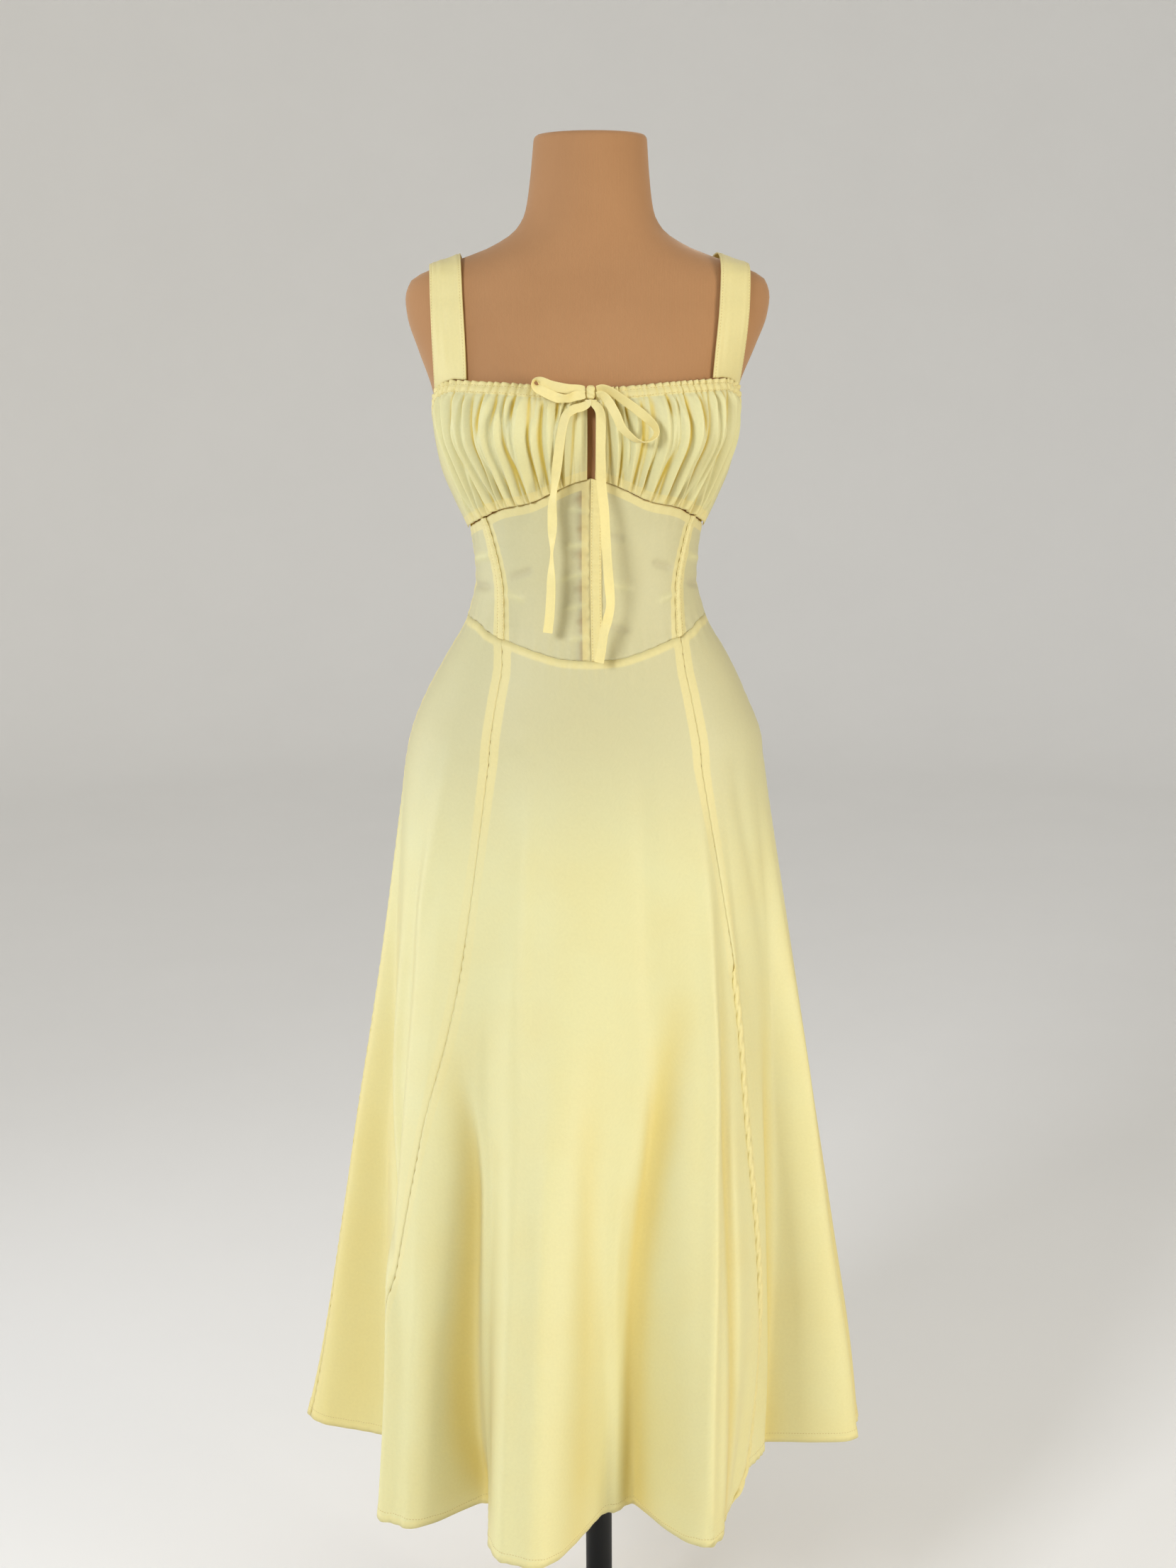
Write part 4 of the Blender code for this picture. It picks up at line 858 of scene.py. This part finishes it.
def cupPiece(name, node, side):
    def surface(across, up):
        across = across if side > 0 else 1 - across
        angle = np.full_like(across, side * 10.0)
        for _ in range(4):
            bottom = underBust(np.abs(angle)) + seamGap
            top = topEdge(np.abs(angle))
            height = bottom + (top - bottom) * up
            start = np.degrees(cupShape["slitHalf"] / (formRadius(0.0, height) + bodiceEase))
            stop = 90.0 - np.degrees(0.5 * seamGap / formRadius(90.0, height))
            angle = side * (start + (stop - start) * across)
        base = bodiceRadius(angle, height)
        edge = smoothStep(across / 0.04) * smoothStep((1 - across) / 0.06)
        puff = cupShape["puff"] * np.sin(np.pi * np.clip(up, 0, 1))**0.8
        fromTop, fromLow = top - height, height - bottom
        seedShift = 0 if side > 0 else 7
        smoothSide = 1 - 0.85 * smoothStep((across - 0.82) / 0.08)
        laid = [(top + 0.012 * math.sin(5.0 * k + seedShift), foot + 0.010 * math.sin(3.0 * k + seedShift),
                 *rest) for k, (top, foot, *rest) in enumerate(cupFolds)]
        fine = gatherWave(across, up, cupShape["topGathers"], 23 + seedShift)
        foot = gatherWave(across, up, cupShape["lowGathers"], 31 + seedShift)
        ridges = cupShape["foldGain"] * foldField(laid, across, 1 - up, 0.010)
        folds = (ridges * smoothStep((fromTop - 0.006) / 0.016)
                 + cupShape["topDepth"] * fine
                 * (0.12 + 0.88 * np.exp(-np.maximum(fromTop - 0.012, 0) / 0.013))
                 + cupShape["lowDepth"] * foot * np.exp(-fromLow / 0.014))
        pinch = sum(np.exp(-((fromTop - at) / 0.0011)**2) for at in (cupShape["frill"], cupShape["casing"]))
        casing = np.exp(-((fromTop - 0.5 * (cupShape["frill"] + cupShape["casing"])) / 0.0040)**2)
        frill = smoothStep((cupShape["frill"] - fromTop) / cupShape["frill"])
        radius = (base + cupShape["ease"] + puff * (0.35 + 0.65 * edge)
                  + folds * smoothSide * (0.25 + 0.75 * edge)
                  - 0.0012 * pinch * smoothSide + 0.0006 * casing
                  + 0.0022 * fine * frill * smoothSide)
        radius = np.maximum(radius, formRadius(angle, height) + 0.0012)
        height = height + 0.0016 * frill * fine * smoothSide * (0.3 + 0.7 * edge)
        away = radius - formRadius(angle, height)
        cover = 0.35 * (1 - smoothStep((away - 0.004) / 0.012))
        cover = np.maximum(cover, 0.75 * smoothStep((across - 0.84) / 0.08))
        casing = np.clip(0.5 + (cupShape["casing"] - fromTop) / 0.001, 0, 1)
        layers = np.maximum(layerShare(fromLow), casing)
        # painted shade down in the gathered folds of the cup
        valley = 1.7 * smoothStep((0.0004 - folds * smoothSide) / cupShape["valleyDepth"])
        return place(angle, height, radius), {"overForm": cover, "valley": valley, "layers": 0.85 * layers}

    return clothPiece(name, node, surface, 420, 90)


cupLeft = cupPiece("cupLeft", "cup_left", -1)
cupRight = cupPiece("cupRight", "cup_right", 1)
print("cups gathered")


# ---- straps

strapShape = {"width": 0.030, "wall": 0.0015, "lift": 0.0026, "frontX": 0.1345, "topX": 0.1420,
              "backX": 0.1080, "turnHeight": 1.400, "topShare": 0.45, "endShare": 0.45, "endGap": 0.0008}
strapMiddle = smoothCurve((0.0, strapShape["topShare"], 1.0),
                          (strapShape["frontX"], strapShape["topX"], strapShape["backX"]))


def strapRadius(angle, height):
    lift = strapShape["lift"] + strapShape["wall"]
    return formRadius(angle, height - lift) + lift


def strapEnd(x, back):
    angle = np.degrees(np.arcsin(np.minimum(np.abs(x) / formRadius(90.0, 1.4), 1.0)))
    for _ in range(6):
        sideAngle = 180 - angle if back else angle
        height = topEdge(sideAngle) + strapShape["endGap"]
        radius = strapRadius(sideAngle, height)
        angle = np.degrees(np.arcsin(np.minimum(np.abs(x) / radius, 0.999)))
    forward = radius * np.cos(np.radians(180 - angle if back else angle))
    return np.degrees(np.arctan2(-forward, height - strapShape["turnHeight"]))


def strapPiece(name, node, side, sag):
    first, last = strapEnd(strapShape["frontX"], False), strapEnd(strapShape["backX"], True)

    def surface(across, up):
        offset = (across - 0.5) * strapShape["width"] * side
        start = strapEnd(strapShape["frontX"] + offset, False)
        stop = strapEnd(strapShape["backX"] + offset, True)
        turn = np.radians(first + (last - first) * up
                          + (start - first) * np.maximum(0, 1 - up / strapShape["endShare"])**2
                          + (stop - last) * np.maximum(0, 1 - (1 - up) / strapShape["endShare"])**2)
        x = side * strapMiddle(up) + (across - 0.5) * strapShape["width"]
        ahead, rise = -np.sin(turn), np.cos(turn)
        near, far = np.zeros_like(x), np.full_like(x, 0.25)
        for _ in range(26):
            middle = 0.5 * (near + far)
            forward, height = ahead * middle, strapShape["turnHeight"] + rise * middle
            inside = np.hypot(x, forward) < strapRadius(np.degrees(np.arctan2(x, forward)), height)
            near, far = np.where(inside, middle, near), np.where(inside, far, middle)
        fromEdge = np.minimum(across, 1 - across) * strapShape["width"]
        far = far + 0.0005 * np.exp(-((fromEdge - 0.004) / 0.002)**2)
        far = far - 0.0005 * np.exp(-((fromEdge - 0.0022) / 0.0006)**2)
        ends = smoothStep(up / 0.1) * smoothStep((0.7 - up) / 0.4)
        far = far + sag * np.exp(-((across - 0.36) / 0.10)**2) * ends
        height = strapShape["turnHeight"] + rise * far
        points = np.stack([x + leanCurve(height), -ahead * far, height], -1) + seat
        return points, {"overForm": 0.35, "layers": 1.0}

    return clothPiece(name, node, surface, 30, 170, thickness=strapShape["wall"])


strapLeft = strapPiece("strapLeft", "strap_left", -1, 0.0009)
strapRight = strapPiece("strapRight", "strap_right", 1, 0.0004)
print("straps laid")


# ---- form

formLook = {"sides": 160, "step": 0.006, "topBevel": 0.006}


def makeForm():
    heights = np.arange(formRows[0][0], formRows[-1][0] + 1e-6, formLook["step"])
    heights[-1] = formRows[-1][0]
    angles = np.linspace(-180, 180, formLook["sides"] + 1)
    rings = [place(angles, np.full_like(angles, z), formRadius(angles, np.full_like(angles, z)))
             for z in heights]
    top = np.full_like(angles, heights[-1])
    for turn in np.radians((22.5, 45, 67.5, 90)):
        inset, rise = (1 - math.cos(turn)) * formLook["topBevel"], math.sin(turn) * formLook["topBevel"]
        rings.append(place(angles, top + rise, formRadius(angles, top) - inset))
    for share in (0.6, 0.25, 0.0):
        rings.append(place(angles, top + formLook["topBevel"],
                           (formRadius(angles, top) - formLook["topBevel"]) * share))
    under = np.full_like(angles, heights[0])
    for share in (0.6, 0.25, 0.0):
        rings.insert(0, place(angles, under, formRadius(angles, under) * share))
    mesh = gridMesh("coveredForm", np.stack(rings))
    shape = bmesh.new()
    shape.from_mesh(mesh)
    bmesh.ops.remove_doubles(shape, verts=shape.verts, dist=0.00002)
    shape.to_mesh(mesh)
    shape.free()
    finishPiece("coveredForm", mesh, jersey, "form_torso")


makeForm()
print("form covered")


# ---- tape bow

tapeShape = {"width": 0.0093, "thickness": 0.0008, "flat": 0.0044, "standOff": 0.0052, "step": 0.0015,
             "sharp": 42}

# across, height and how far it stands off the cloth; then the turn of the flat tape by its length
bowRoutes = {
    "bowLoopLeft": ("tie_loop_left", "object", (
        (-0.0061, 1.3649, 0.001), (-0.0140, 1.3650, 0.002), (-0.0234, 1.3655, 0.004),
        (-0.0394, 1.3690, 0.003), (-0.0500, 1.3735, 0.004), (-0.0545, 1.3728, 0.006),
        (-0.0535, 1.3680, 0.008), (-0.0441, 1.3625, 0.008), (-0.0328, 1.3575, 0.006),
        (-0.0235, 1.3568, 0.005), (-0.0150, 1.3590, 0.002), (-0.0061, 1.3597, 0.001)),
        ((0.0, 25), (0.15, 10), (0.36, 15), (0.47, 88), (0.58, 165), (0.72, 172), (0.80, 215), (1.0, 160))),
    "bowLoopRight": ("tie_loop_right", "object", (
        (0.0045, 1.3651, 0.001), (0.0107, 1.3655, 0.002), (0.0187, 1.3625, 0.005),
        (0.0294, 1.3550, 0.005), (0.0405, 1.3470, 0.005), (0.0520, 1.3375, 0.005),
        (0.0590, 1.3300, 0.005), (0.0600, 1.3225, 0.006), (0.0515, 1.3160, 0.008),
        (0.0421, 1.3172, 0.009), (0.0347, 1.3222, 0.009), (0.0274, 1.3298, 0.009),
        (0.0217, 1.3421, 0.009), (0.0145, 1.3548, 0.007), (0.0090, 1.3596, 0.003),
        (0.0046, 1.3598, 0.001)),
        ((0.0, 20), (0.12, 35), (0.30, 22), (0.46, 60), (0.56, 95), (0.66, 130), (0.85, 160), (1.0, 150))),
    "bowTailLeft": ("tie_tail_left", "bare", (
        (-0.0034, 1.3552, 0.000), (-0.0038, 1.3518, 0.000), (-0.0090, 1.3487, 0.000),
        (-0.0180, 1.3462, 0.000), (-0.0245, 1.3410, 0.000), (-0.0275, 1.3330, 0.000),
        (-0.0297, 1.3220, 0.000), (-0.0322, 1.3040, 0.001), (-0.0345, 1.2840, 0.004),
        (-0.0378, 1.2551, 0.011), (-0.0380, 1.2375, 0.014), (-0.0388, 1.2104, 0.018),
        (-0.0396, 1.1852, 0.020), (-0.0400, 1.1700, 0.020), (-0.0413, 1.1500, 0.018),
        (-0.0435, 1.1316, 0.015)),
        ((0.0, 20), (0.15, 30), (0.30, 5), (0.42, 55), (0.55, 15), (0.68, 78), (0.80, 30), (1.0, 8))),
    "bowTailRight": ("tie_tail_right", "bare", (
        (0.0018, 1.3552, 0.000), (0.0022, 1.3518, 0.000), (0.0062, 1.3470, 0.001),
        (0.0083, 1.3400, 0.000), (0.0084, 1.3292, 0.001), (0.0080, 1.3105, 0.003),
        (0.0085, 1.2918, 0.006), (0.0091, 1.2750, 0.010), (0.0117, 1.2508, 0.014),
        (0.0127, 1.2312, 0.017), (0.0143, 1.2033, 0.020), (0.0156, 1.1862, 0.021),
        (0.0174, 1.1602, 0.020), (0.0147, 1.1450, 0.018), (0.0112, 1.1316, 0.016),
        (0.0084, 1.1140, 0.013), (0.0063, 1.1022, 0.010)),
        ((0.0, -15), (0.2, 12), (0.45, -10), (0.62, 20), (0.78, -25), (0.9, 35), (1.0, 10))),
}


def frontOf(x, height):
    # how far forward the cloth reaches at a place seen from the front
    angle = np.degrees(np.arcsin(x / formRadius(0.0, bustShape["height"])))
    for _ in range(8):
        low, high = underBust(abs(angle)), topEdge(abs(angle))
        up = (height - low) / (high - low)
        radius = bodiceRadius(angle, height)
        if up > 0:
            radius = radius + cupShape["ease"] + cupShape["puff"] * np.sin(np.pi * min(up, 1.0))**0.8
        angle = np.degrees(np.arcsin(x / radius))
    return radius * np.cos(np.radians(angle))


def finePath(route, step):
    # evenly spaced points on a smooth curve through the route's own
    padded = np.concatenate([2 * route[:1] - route[1:2], route, 2 * route[-1:] - route[-2:-1]])
    fine = []
    for p0, p1, p2, p3 in zip(padded, padded[1:], padded[2:], padded[3:]):
        for t in np.arange(24) / 24:
            fine.append(0.5 * (2 * p1 + (p2 - p0) * t + (2 * p0 - 5 * p1 + 4 * p2 - p3) * t * t
                               + (3 * p1 - p0 - 3 * p2 + p3) * t**3))
    fine = np.array(fine + [route[-1]])
    lengths = lengthAlong(fine)
    count = max(8, round(lengths[-1] / step))
    wanted = np.linspace(0, lengths[-1], count + 1)
    return np.stack([np.interp(wanted, lengths, fine[:, k]) for k in range(3)], 1), lengths[-1]


def tapePiece(name, node, farEnd, route, turns):
    places = seat + np.array([(x, -(frontOf(x, z) + tapeShape["standOff"] + off), z)
                              for x, z, off in route])
    path, length = finePath(places, tapeShape["step"])
    shares = np.linspace(0, 1, len(path))
    tangent = unit(np.gradient(path, axis=0))
    facing = np.array((0.0, -1.0, 0.0))
    wide = np.cross(facing, tangent)
    for k in range(1, len(wide)):  # keep the same side out where the route turns back
        if np.dot(wide[k], wide[k - 1]) < 0:
            wide[k] = -wide[k]
    wide = unit(wide)
    out = np.cross(tangent, wide)
    turn = np.radians(smoothCurve(*zip(*turns))(shares))[:, None]
    side = wide * np.cos(turn) + out * np.sin(turn)
    thick = np.cross(tangent, side)
    half = 0.5 * tapeShape["width"] * (1 - 0.35 * np.exp(-shares / 0.03))[:, None]
    if farEnd == "object":
        half = half * (1 - 0.35 * np.exp(-(1 - shares) / 0.03))[:, None]
    # a folded tape: flat, with a slight rise along the stitching of each edge
    cross = list(zip((-1, -0.86, -0.62, 0, 0.62, 0.86, 1, 1, 0.86, 0.62, 0, -0.62, -0.86, -1),
                     (0.6, 1.0, 0.7, 0.85, 0.7, 1.0, 0.6, -0.6, -1.0, -0.7, -0.85, -0.7, -1.0, -0.6)))
    thick = thick * 0.5 * tapeShape["thickness"]
    rings = np.stack([path + side * half * s + thick * h for s, h in cross], 1)
    count = len(cross)
    last = (len(path) - 1) * count
    faces = [(i + j, i + (j + 1) % count, i + count + (j + 1) % count, i + count + j)
             for i in range(0, last, count) for j in range(count)]
    faces += [tuple(range(count))[::-1], tuple(last + j for j in range(count))]
    mesh = bpy.data.meshes.new(name)
    mesh.from_pydata(rings.reshape(-1, 3).tolist(), [], faces)
    layThreads(mesh, np.array([(tapeShape["flat"] * s, share * length)
                               for share in shares for s, _ in cross]))
    markPoints(mesh, {"overForm": 0.12, "layers": 1.0})
    made = finishPiece(name, mesh, cotton, node, sharp=tapeShape["sharp"])


for name, (node, farEnd, route, turns) in bowRoutes.items():
    tapePiece(name, node, farEnd, route, turns)

knotShape = {"size": (0.0096, 0.0085, 0.0128), "height": 1.3620, "across": -0.0008, "gap": 0.00035,
             "grooves": 3, "grooveDepth": 0.0006}


def makeKnot():
    size = np.array(knotShape["size"]) * (1.02, 1.0, 1.04)
    forward = float(frontOf(0.0, knotShape["height"])) + 0.5 * knotShape["size"][1] + knotShape["gap"]
    centre = np.array((knotShape["across"], -forward, knotShape["height"])) + seat
    shape = bmesh.new()
    bmesh.ops.create_uvsphere(shape, u_segments=48, v_segments=30, radius=0.5)
    for vert in shape.verts:
        x, y, z = vert.co * 2
        squarer = [math.copysign(abs(c)**0.72, c) for c in (x, y, z)]
        groove = knotShape["grooveDepth"] * math.cos(math.pi * knotShape["grooves"] * z + 2.2 * x)
        local = np.array(squarer) * size * 0.5
        local[1] += -groove if y < 0 else groove
        local[0] *= 0.86 + 0.14 * abs(z)**1.5
        vert.co = Vector(centre + local)
    mesh = bpy.data.meshes.new("bowKnot")
    shape.to_mesh(mesh)
    shape.free()
    layThreads(mesh, np.array([(v.co.x, v.co.z) for v in mesh.vertices]))
    markPoints(mesh, {"overForm": 0.15, "layers": 1.0})
    finishPiece("bowKnot", mesh, cotton, "tie_knot")


makeKnot()
print("bow tied")


# ---- slit edge and stitching

rollShape = {"wide": 0.0046, "thick": 0.0030, "twistStep": 0.019, "groove": 0.42, "out": 0.0008,
             "from": 0.258, "to": 0.800}


def makeSlitRoll():
    # the narrow turned edge of the slit, which the bias of the cloth twists like a cord
    heights = np.linspace(rollShape["from"], rollShape["to"], 360)
    angle = slitFront(heights)
    base = skirtRadius(angle, heights)
    radius = base + creaseField(skirtCreases, angle, heights, base)
    radius = radius + skirtShape["foldGain"] * skirtFoldField(angle, heights, base)
    radius = radius - 0.003 * smoothStep((slitTop - heights) / 0.01) + rollShape["out"]
    path = place(angle - np.degrees(0.0010 / radius), heights, radius)
    tangent = unit(np.gradient(path, axis=0))
    outward = place(angle, heights, radius + 0.01) - place(angle, heights, radius)
    wide = unit(np.cross(tangent, outward))
    thick = np.cross(wide, tangent)
    around = np.linspace(0, 2 * math.pi, 20, endpoint=False)
    sway = heights * 2 * math.pi / rollShape["twistStep"] + 1.5 * np.sin(heights * 23)
    ends = smoothStep((heights - heights[0]) / 0.012) * smoothStep((heights[-1] - heights) / 0.03)
    rings = []
    for a in around:
        groove = 1 - rollShape["groove"] * (0.5 + 0.5 * np.cos(2 * a + sway))**3
        size = (groove * (0.05 + 0.95 * ends))[:, None]
        reach = wide * math.cos(a) * rollShape["wide"] + thick * math.sin(a) * rollShape["thick"]
        rings.append(path + size * reach)
    mesh = gridMesh("slitRoll", np.stack(rings + rings[:1], 1))
    markPoints(mesh, {"overForm": 0.0, "layers": 1.0})
    return finishPiece("slitRoll", mesh, cotton)


threadLook = {"thread": "#e2cf86", "dark": "#c4ab66", "roughness": 0.5}
stitchSize = {"step": 0.0030, "long": 0.0021, "wide": 0.00048, "high": 0.00034}


def spunThread():
    # spun polyester sewing thread: twisted plies with a faint lustre
    made, tree = newMaterial("spunThread")
    coords = addNode(tree, "TexCoord")
    plies = addNode(tree, "TexNoise", {"Scale": 1400.0, "Detail": 1.0}, {"Vector": coords.outputs["Object"]})
    tone = mixColours(tree, plies.outputs["Fac"], srgb(threadLook["thread"]), srgb(threadLook["dark"]))
    bump = addNode(tree, "Bump", {"Strength": 0.3, "Distance": 0.0001}, {"Height": plies.outputs["Fac"]})
    face = addNode(tree, "BsdfPrincipled", {"Roughness": threadLook["roughness"], "Sheen Weight": 0.2},
                   {"Base Color": tone, "Normal": bump.outputs["Normal"]})
    addNode(tree, "OutputMaterial", links={"Surface": face.outputs["BSDF"]})
    return made


def insetLine(name, edge, inset):
    # the line that runs a fixed distance in from one edge of a cloth piece, and its outward direction
    grid = grids[name]
    outward = np.cross(np.gradient(grid, axis=1), np.gradient(grid, axis=0))
    outward /= np.linalg.norm(outward, axis=-1)[..., None] + 1e-12
    if edge in ("left", "right"):
        grid, outward = grid.transpose(1, 0, 2), outward.transpose(1, 0, 2)
    if edge in ("top", "right"):
        grid, outward = grid[::-1], outward[::-1]
    steps = np.linalg.norm(np.diff(grid, axis=0), axis=-1)
    gone = np.concatenate([np.zeros((1, grid.shape[1])), np.cumsum(steps, 0)], 0)
    row = np.clip((gone < inset).sum(0), 1, len(gone) - 1)
    column = np.arange(grid.shape[1])
    share = ((inset - gone[row - 1, column]) / (gone[row, column] - gone[row - 1, column]))[:, None]
    return grid[row - 1, column] * (1 - share) + grid[row, column] * share, outward[row, column]


def stitchRows(name, lines):
    # short threads lying in the cloth, one box with sunk ends for each stitch
    size = stitchSize
    corners = np.array([(u, v, w) for w, k in ((-0.6, 1.0), (0.5, 0.62)) for u, v in
                        ((-k, -1.0), (k, -1.0), (k, 1.0), (-k, 1.0))])
    sides = [(0, 3, 2, 1), (4, 5, 6, 7), (0, 1, 5, 4), (1, 2, 6, 5), (2, 3, 7, 6), (3, 0, 4, 7)]
    points, faces = [], []
    for line, outward in lines:
        gone = lengthAlong(line)
        spots = np.arange(0.5 * size["step"], gone[-1], size["step"])
        centre = np.stack([np.interp(spots, gone, line[:, k]) for k in range(3)], 1)
        ahead = np.stack([np.interp(spots + 0.0004, gone, line[:, k]) for k in range(3)], 1) - centre
        upward = np.stack([np.interp(spots, gone, outward[:, k]) for k in range(3)], 1)
        good = np.linalg.norm(ahead, axis=1) > 1e-7
        centre, ahead, upward = centre[good], ahead[good], upward[good]
        ahead /= np.linalg.norm(ahead, axis=1)[:, None]
        upward /= np.linalg.norm(upward, axis=1)[:, None]
        aside = np.cross(upward, ahead)
        for c, a, b, n in zip(centre, ahead, aside, upward):
            start = len(points)
            for u, v, w in corners:
                points.append(c + a * u * size["long"] / 2 + b * v * size["wide"] / 2 + n * w * size["high"])
            faces += [tuple(start + i for i in side) for side in sides]
    mesh = bpy.data.meshes.new(name)
    mesh.from_pydata([tuple(p) for p in points], [], faces)
    return finishPiece(name, mesh, thread)


slitRoll = makeSlitRoll()
thread = spunThread()
stripLines = [insetLine(name, edge, 0.0012) for name in ("channelLeft", "channelRight", "frontStrip")
              for edge in ("left", "right")]
strapLines = [insetLine(name, edge, 0.0022) for name in ("strapLeft", "strapRight")
              for edge in ("left", "right")]
hemLines = [insetLine(name, "bottom", cottonLook["hem"] - 0.001)
            for name in ("skirtFront", "skirtSideLeft", "skirtSideRight", "skirtBack")]
casingLines = [insetLine(name, "top", inset) for name in ("cupLeft", "cupRight")
               for inset in (cupShape["frill"], cupShape["casing"])]
casingLines.append(insetLine("bodiceBack", "top", 0.006))
stripStitches = stitchRows("stripStitches", stripLines)
strapStitches = stitchRows("strapStitches", strapLines)
hemStitches = stitchRows("hemStitches", hemLines)
casingStitches = stitchRows("casingStitches", casingLines)
print("edges stitched")


# ---- sheets: the cut of what shows, in metres

cuts = [  # piece, cut with its seam allowance, how it is held, the cut's own area, trim on it
    (skirtFront, (0.64, 0.89), "hung", 0.365, [slitRoll, hemStitches]),
    (skirtSideLeft, (0.30, 0.89), "hung", 0.163, []),
    (skirtSideRight, (0.31, 0.89), "hung", 0.167, []),
    (skirtBack, (1.05, 0.90), "hung", 0.640, []),
    (midriffPieces[0], (0.115, 0.172), "stretched", 0.0182, []),
    (midriffPieces[1], (0.065, 0.155), "stretched", 0.0082, []),
    (midriffPieces[2], (0.115, 0.172), "stretched", 0.0182, []),
    (midriffPieces[3], (0.065, 0.155), "stretched", 0.0082, []),
    (bodiceBack, (0.360, 0.270), "stretched", 0.0790, []),
    (stripPieces[0], (0.010, 0.140), "laid", None, []),
    (stripPieces[1], (0.010, 0.140), "laid", None, []),
    (stripPieces[2], (0.012, 0.165), "laid", None, [stripStitches]),
    (cupLeft, (0.340, 0.130), "gathered", 0.0385, [casingStitches]),
    (cupRight, (0.340, 0.130), "gathered", 0.0385, []),
    (strapLeft, (0.032, 0.430), "laid", None, [strapStitches]),
    (strapRight, (0.032, 0.430), "laid", None, []),
]


def pieceArea(piece):
    return sum(face.area for face in piece.data.polygons)


for made, flat, held, area, trim in cuts:
    print(made.name, "shows", round(pieceArea(made), 4), "of", round(area or flat[0] * flat[1], 4), "m2")


# ---- room and light

roomLook = {"wall": "#f4f3f0", "floor": 5.0, "bend": 1.6, "rise": 7.0}
lightLook = {
    "key": (40.0, (-2.3, -3.2, 2.7), 1.0, "#f3f6ff"),  # watts, place, size, colour
    "fill": (34.0, (3.1, -2.3, 1.1), 1.6, "#fff7ea"),
    "window": (12.0, (-2.5, 0.5, 0.9), 1.6, "#f4f7ff"),
    "spread": 110.0,
    "sky": "#ebeae8",
    "world": 0.73,
}


def makeRoom():
    # a round studio cove: every side of the dress has the same pale floor and wall behind it
    floor, bend, rise = roomLook["floor"], roomLook["bend"], roomLook["rise"]
    profile = [(0.02, 0.0), (0.5 * floor, 0.0)]
    profile += [(floor + bend * math.sin(a), bend - bend * math.cos(a))
                for a in np.linspace(0, math.pi / 2, 16)]
    profile.append((floor + bend, rise))
    turn = np.linspace(0, 2 * math.pi, 96, endpoint=False)
    points = np.array([[(r * math.cos(a), r * math.sin(a), z) for a in turn] for r, z in profile])
    index = np.arange(points.shape[0] * points.shape[1]).reshape(points.shape[:2])
    after = np.roll(index, -1, 1)
    quads = np.stack([index[:-1], after[:-1], after[1:], index[1:]], -1).reshape(-1, 4)
    mesh = bpy.data.meshes.new("studioSweep")
    mesh.from_pydata(points.reshape(-1, 3).tolist(), [], [index[0].tolist()] + quads.tolist())
    mesh.shade_smooth()
    mesh.materials.append(paintedWall(roomLook["wall"]))
    sweep = bpy.data.objects.new("studioSweep", mesh)
    sweep.location.z = -0.0005
    collection.objects.link(sweep)


def makeLight(name, power, spot, size, colour, aim=(0, 0, 0.95)):
    data = bpy.data.lights.new(name, "AREA")
    data.energy, data.size, data.color = power, size, srgb(colour)[:3]
    data.spread = math.radians(lightLook["spread"])
    lamp = bpy.data.objects.new(name, data)
    lamp.location = spot
    lamp.rotation_euler = (Vector(aim) - Vector(spot)).to_track_quat("-Z", "Y").to_euler()
    collection.objects.link(lamp)


makeRoom()
for word in ("key", "fill", "window"):
    makeLight(word + "Light", *lightLook[word])
world = bpy.data.worlds.new("studioWorld")
world.use_nodes = True
world.node_tree.nodes["Background"].inputs["Color"].default_value = srgb(lightLook["sky"])
world.node_tree.nodes["Background"].inputs["Strength"].default_value = lightLook["world"]
bpy.context.scene.world = world
bpy.context.scene.view_settings.view_transform = "Standard"
print("room lit")
